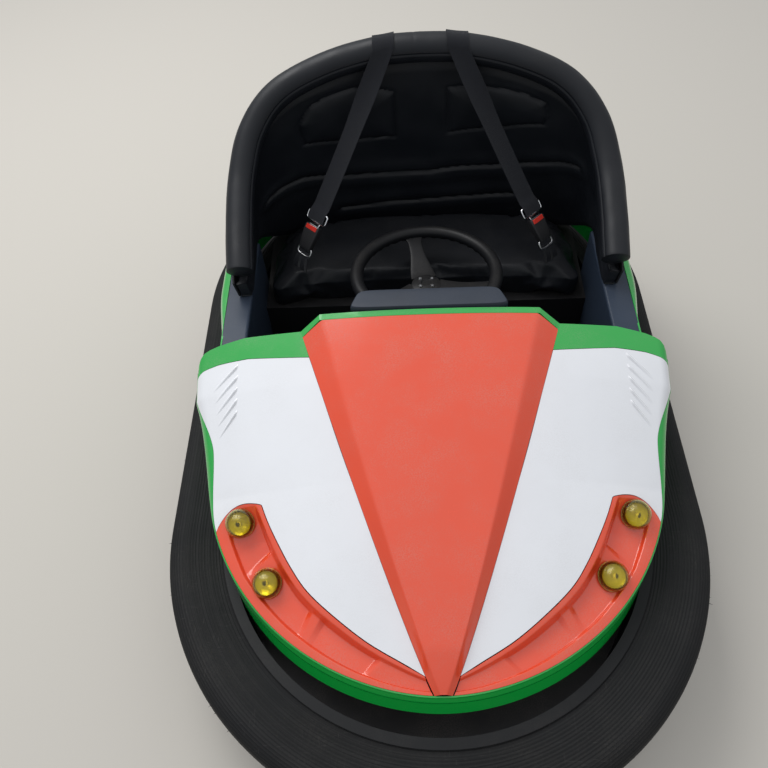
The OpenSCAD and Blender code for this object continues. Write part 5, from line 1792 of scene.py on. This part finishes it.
def add_belt(side, word):
    """One belt with its tongue, buckle, ring and stub."""
    strap, length = webbing_strip("belt_strap_" + word, belt_grid(), side)
    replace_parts(strap, "belt_" + word)
    at = TONGUE_AT
    frame_loop = rounded_loop(BELT_W + 0.010, 0.024, at + 0.006, 0.002)
    tongue = loop_tube("tongue_frame_" + word, frame_loop, 0.0021, "belt_chrome", side)
    bars = (TONGUE_PLATE, BUCKLE_CASE, BUCKLE_BUTTON)
    plate, body, button = (np.array(rows) + [at, 0, 0, 0] for rows in bars)
    loft("tongue_plate_" + word, plate, "belt_chrome", side)
    case = loft("buckle_case_" + word, body, "buckle_plastic", side)
    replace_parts(case, "buckle_" + word)
    loft("buckle_button_" + word, button, "button_plastic", side)
    ring = loop_tube("buckle_ring_" + word, rounded_loop(0.040, 0.020, at + 0.093, 0.001, 0.6), 0.0026,
                     "bright_steel", side, flat=0.7)
    drop = np.linspace(0, 1, 24)
    across = np.linspace(-0.5, 0.5, 9)
    half = lerp(STUB_NARROW, STUB_WIDE, ease(drop))[:, None] * across[None]
    fold = 0.0025 * np.cos(across * 14)[None] * ease(drop)[:, None]
    down = np.stack([half, np.repeat((at + 0.094 + STUB_L * drop)[:, None], 9, 1),
                     (-0.010 * drop**2)[:, None] + fold], -1)
    stub = webbing_strip("belt_stub_" + word, belt_place(down)[:, ::-1], side)[0]
    return strap, tongue, ring, stub, length


belts = [add_belt(side, word) for side, word in ((1, "right"), (-1, "left"))]
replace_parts(belts[0][1], "belt_tongues")
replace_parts(belts[0][3], "belt_stubs")
print("belt webbing", round(belts[0][4], 3), "m a side")

# %% [markdown]
# The steering wheel has a soft grip on its rim, three dished spokes and a hub with four bright screws.
# Everything is made flat round the column's axis, where circles are easy, and then tilted with it.

# %% Steering wheel
COLUMN_TILT = math.radians(8)
WHEEL_PLACE = np.array([0, 0.165, 0.530])
WHEEL_R, GRIP_R, DISH = 0.157, 0.0145, 0.040
SWELLS, SWELL_RISE = 40, 0.0012
SCREWS, SCREW_CIRCLE = 4, 0.019
SPOKES = (-20, 100, 220)
COLUMN = np.array([[1, 0, 0], [0, math.cos(COLUMN_TILT), -math.sin(COLUMN_TILT)],
                   [0, math.sin(COLUMN_TILT), math.cos(COLUMN_TILT)]])


def wheel_place(points, turn=0.0):
    """Points turned about the column's axis by an angle in degrees, tilted with it and put in place."""
    a = math.radians(turn)
    spin = np.array([[math.cos(a), math.sin(a), 0], [-math.sin(a), math.cos(a), 0], [0, 0, 1]])
    return WHEEL_PLACE + np.asarray(points, float) @ spin @ COLUMN


def grip():
    """Rim with finger swells on its underside: radius + 1.2 mm of a rounded wave."""
    turn = np.linspace(0, 2 * np.pi, 240, endpoint=False)[:, None]
    angle = np.linspace(0, 2 * np.pi, 36, endpoint=False)[None, :]
    swell = SWELL_RISE * ease(-np.sin(angle)) * np.cos(SWELLS * turn)
    radius = GRIP_R + swell
    out = WHEEL_R + radius * np.cos(angle)
    points = np.stack([out * np.cos(turn), out * np.sin(turn), radius * np.sin(angle) + 0 * turn], -1)
    return new_piece("wheel_grip", wheel_place(points), grid_faces(240, 36, True, True), "wheel_foam",
                     body="steering")


def spoke(number, turn):
    """A dished plate from hub to rim whose edges curve in, V-shaped where it leaves the hub."""
    f = np.linspace(0, 1, 26)
    reach = lerp(0.026, WHEEL_R - 0.004, f)
    half = lerp(0.029, 0.0165, ease(f * 1.5)) + 0.007 * ease((f - 0.8) / 0.2)
    height = -DISH + 0.004 + (DISH - 0.010) * ease(f) * 0.98
    rows = np.stack([reach, half, np.full_like(f, 0.0032), height], -1)
    return loft(f"wheel_spoke_{number}", rows, "wheel_foam", place=lambda p: wheel_place(p, turn - 90),
                power=0.5, body="steering")


print("spokes at", SPOKES, "degrees")

# %% Wheel made
wheel = grip()
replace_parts(wheel, "steering_wheel")
for number, turn in enumerate(SPOKES):
    spoke(number, turn)
# Profiles: radius, and height along the column
hub = [(0.0335, -DISH - 0.012), (0.0345, -DISH - 0.010), (0.0345, -DISH + 0.004), (0.0330, -DISH + 0.008),
       (0.0240, -DISH + 0.0115), (0.0120, -DISH + 0.0125), (0.0100, -DISH + 0.0105), (0.0040, -DISH + 0.0105)]
turned_body("wheel_hub", hub, WHEEL_PLACE, COLUMN.T, "wheel_foam", body="steering")
for number in range(SCREWS):
    a = math.radians(45 + 360 / SCREWS * number)
    head = [(0.0022, -DISH + 0.009), (0.0044, -DISH + 0.0095), (0.0044, -DISH + 0.0135),
            (0.0034, -DISH + 0.0148), (0.0016, -DISH + 0.0148), (0.0014, -DISH + 0.0135)]
    spot = wheel_place([SCREW_CIRCLE * math.cos(a), SCREW_CIRCLE * math.sin(a), 0.0])
    turned_body(f"wheel_screw_{number}", head, spot, COLUMN.T, "bright_steel", steps=24, body="steering")
print("steering wheel", round(2 * (WHEEL_R + GRIP_R), 3), "m across")
# %% [markdown]
# The last cell counts the new pieces and their triangles, and looks at every closed one: its volume comes
# out negative if its faces look inwards, so the list has to be empty.

# %% Counts and end
new = [o for o in bpy.data.objects if o.type == "MESH" and o.name not in {c.name for c in cad.values()}]
closed = [o for o in new if len(o.data.loops) == 2 * len(o.data.edges)]
print(len(new), "new pieces,", len(closed), "closed, inside out:",
      [o.name for o in closed if volume_inside(o.data) < 0])
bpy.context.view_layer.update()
counts = {}
for o in new:
    shown = o.evaluated_get(bpy.context.evaluated_depsgraph_get()).to_mesh()
    counts[o.name] = len(shown.loops) - 2 * len(shown.polygons)
print("triangles:", sum(counts.values()), sorted(counts.items(), key=lambda item: -item[1])[:9])
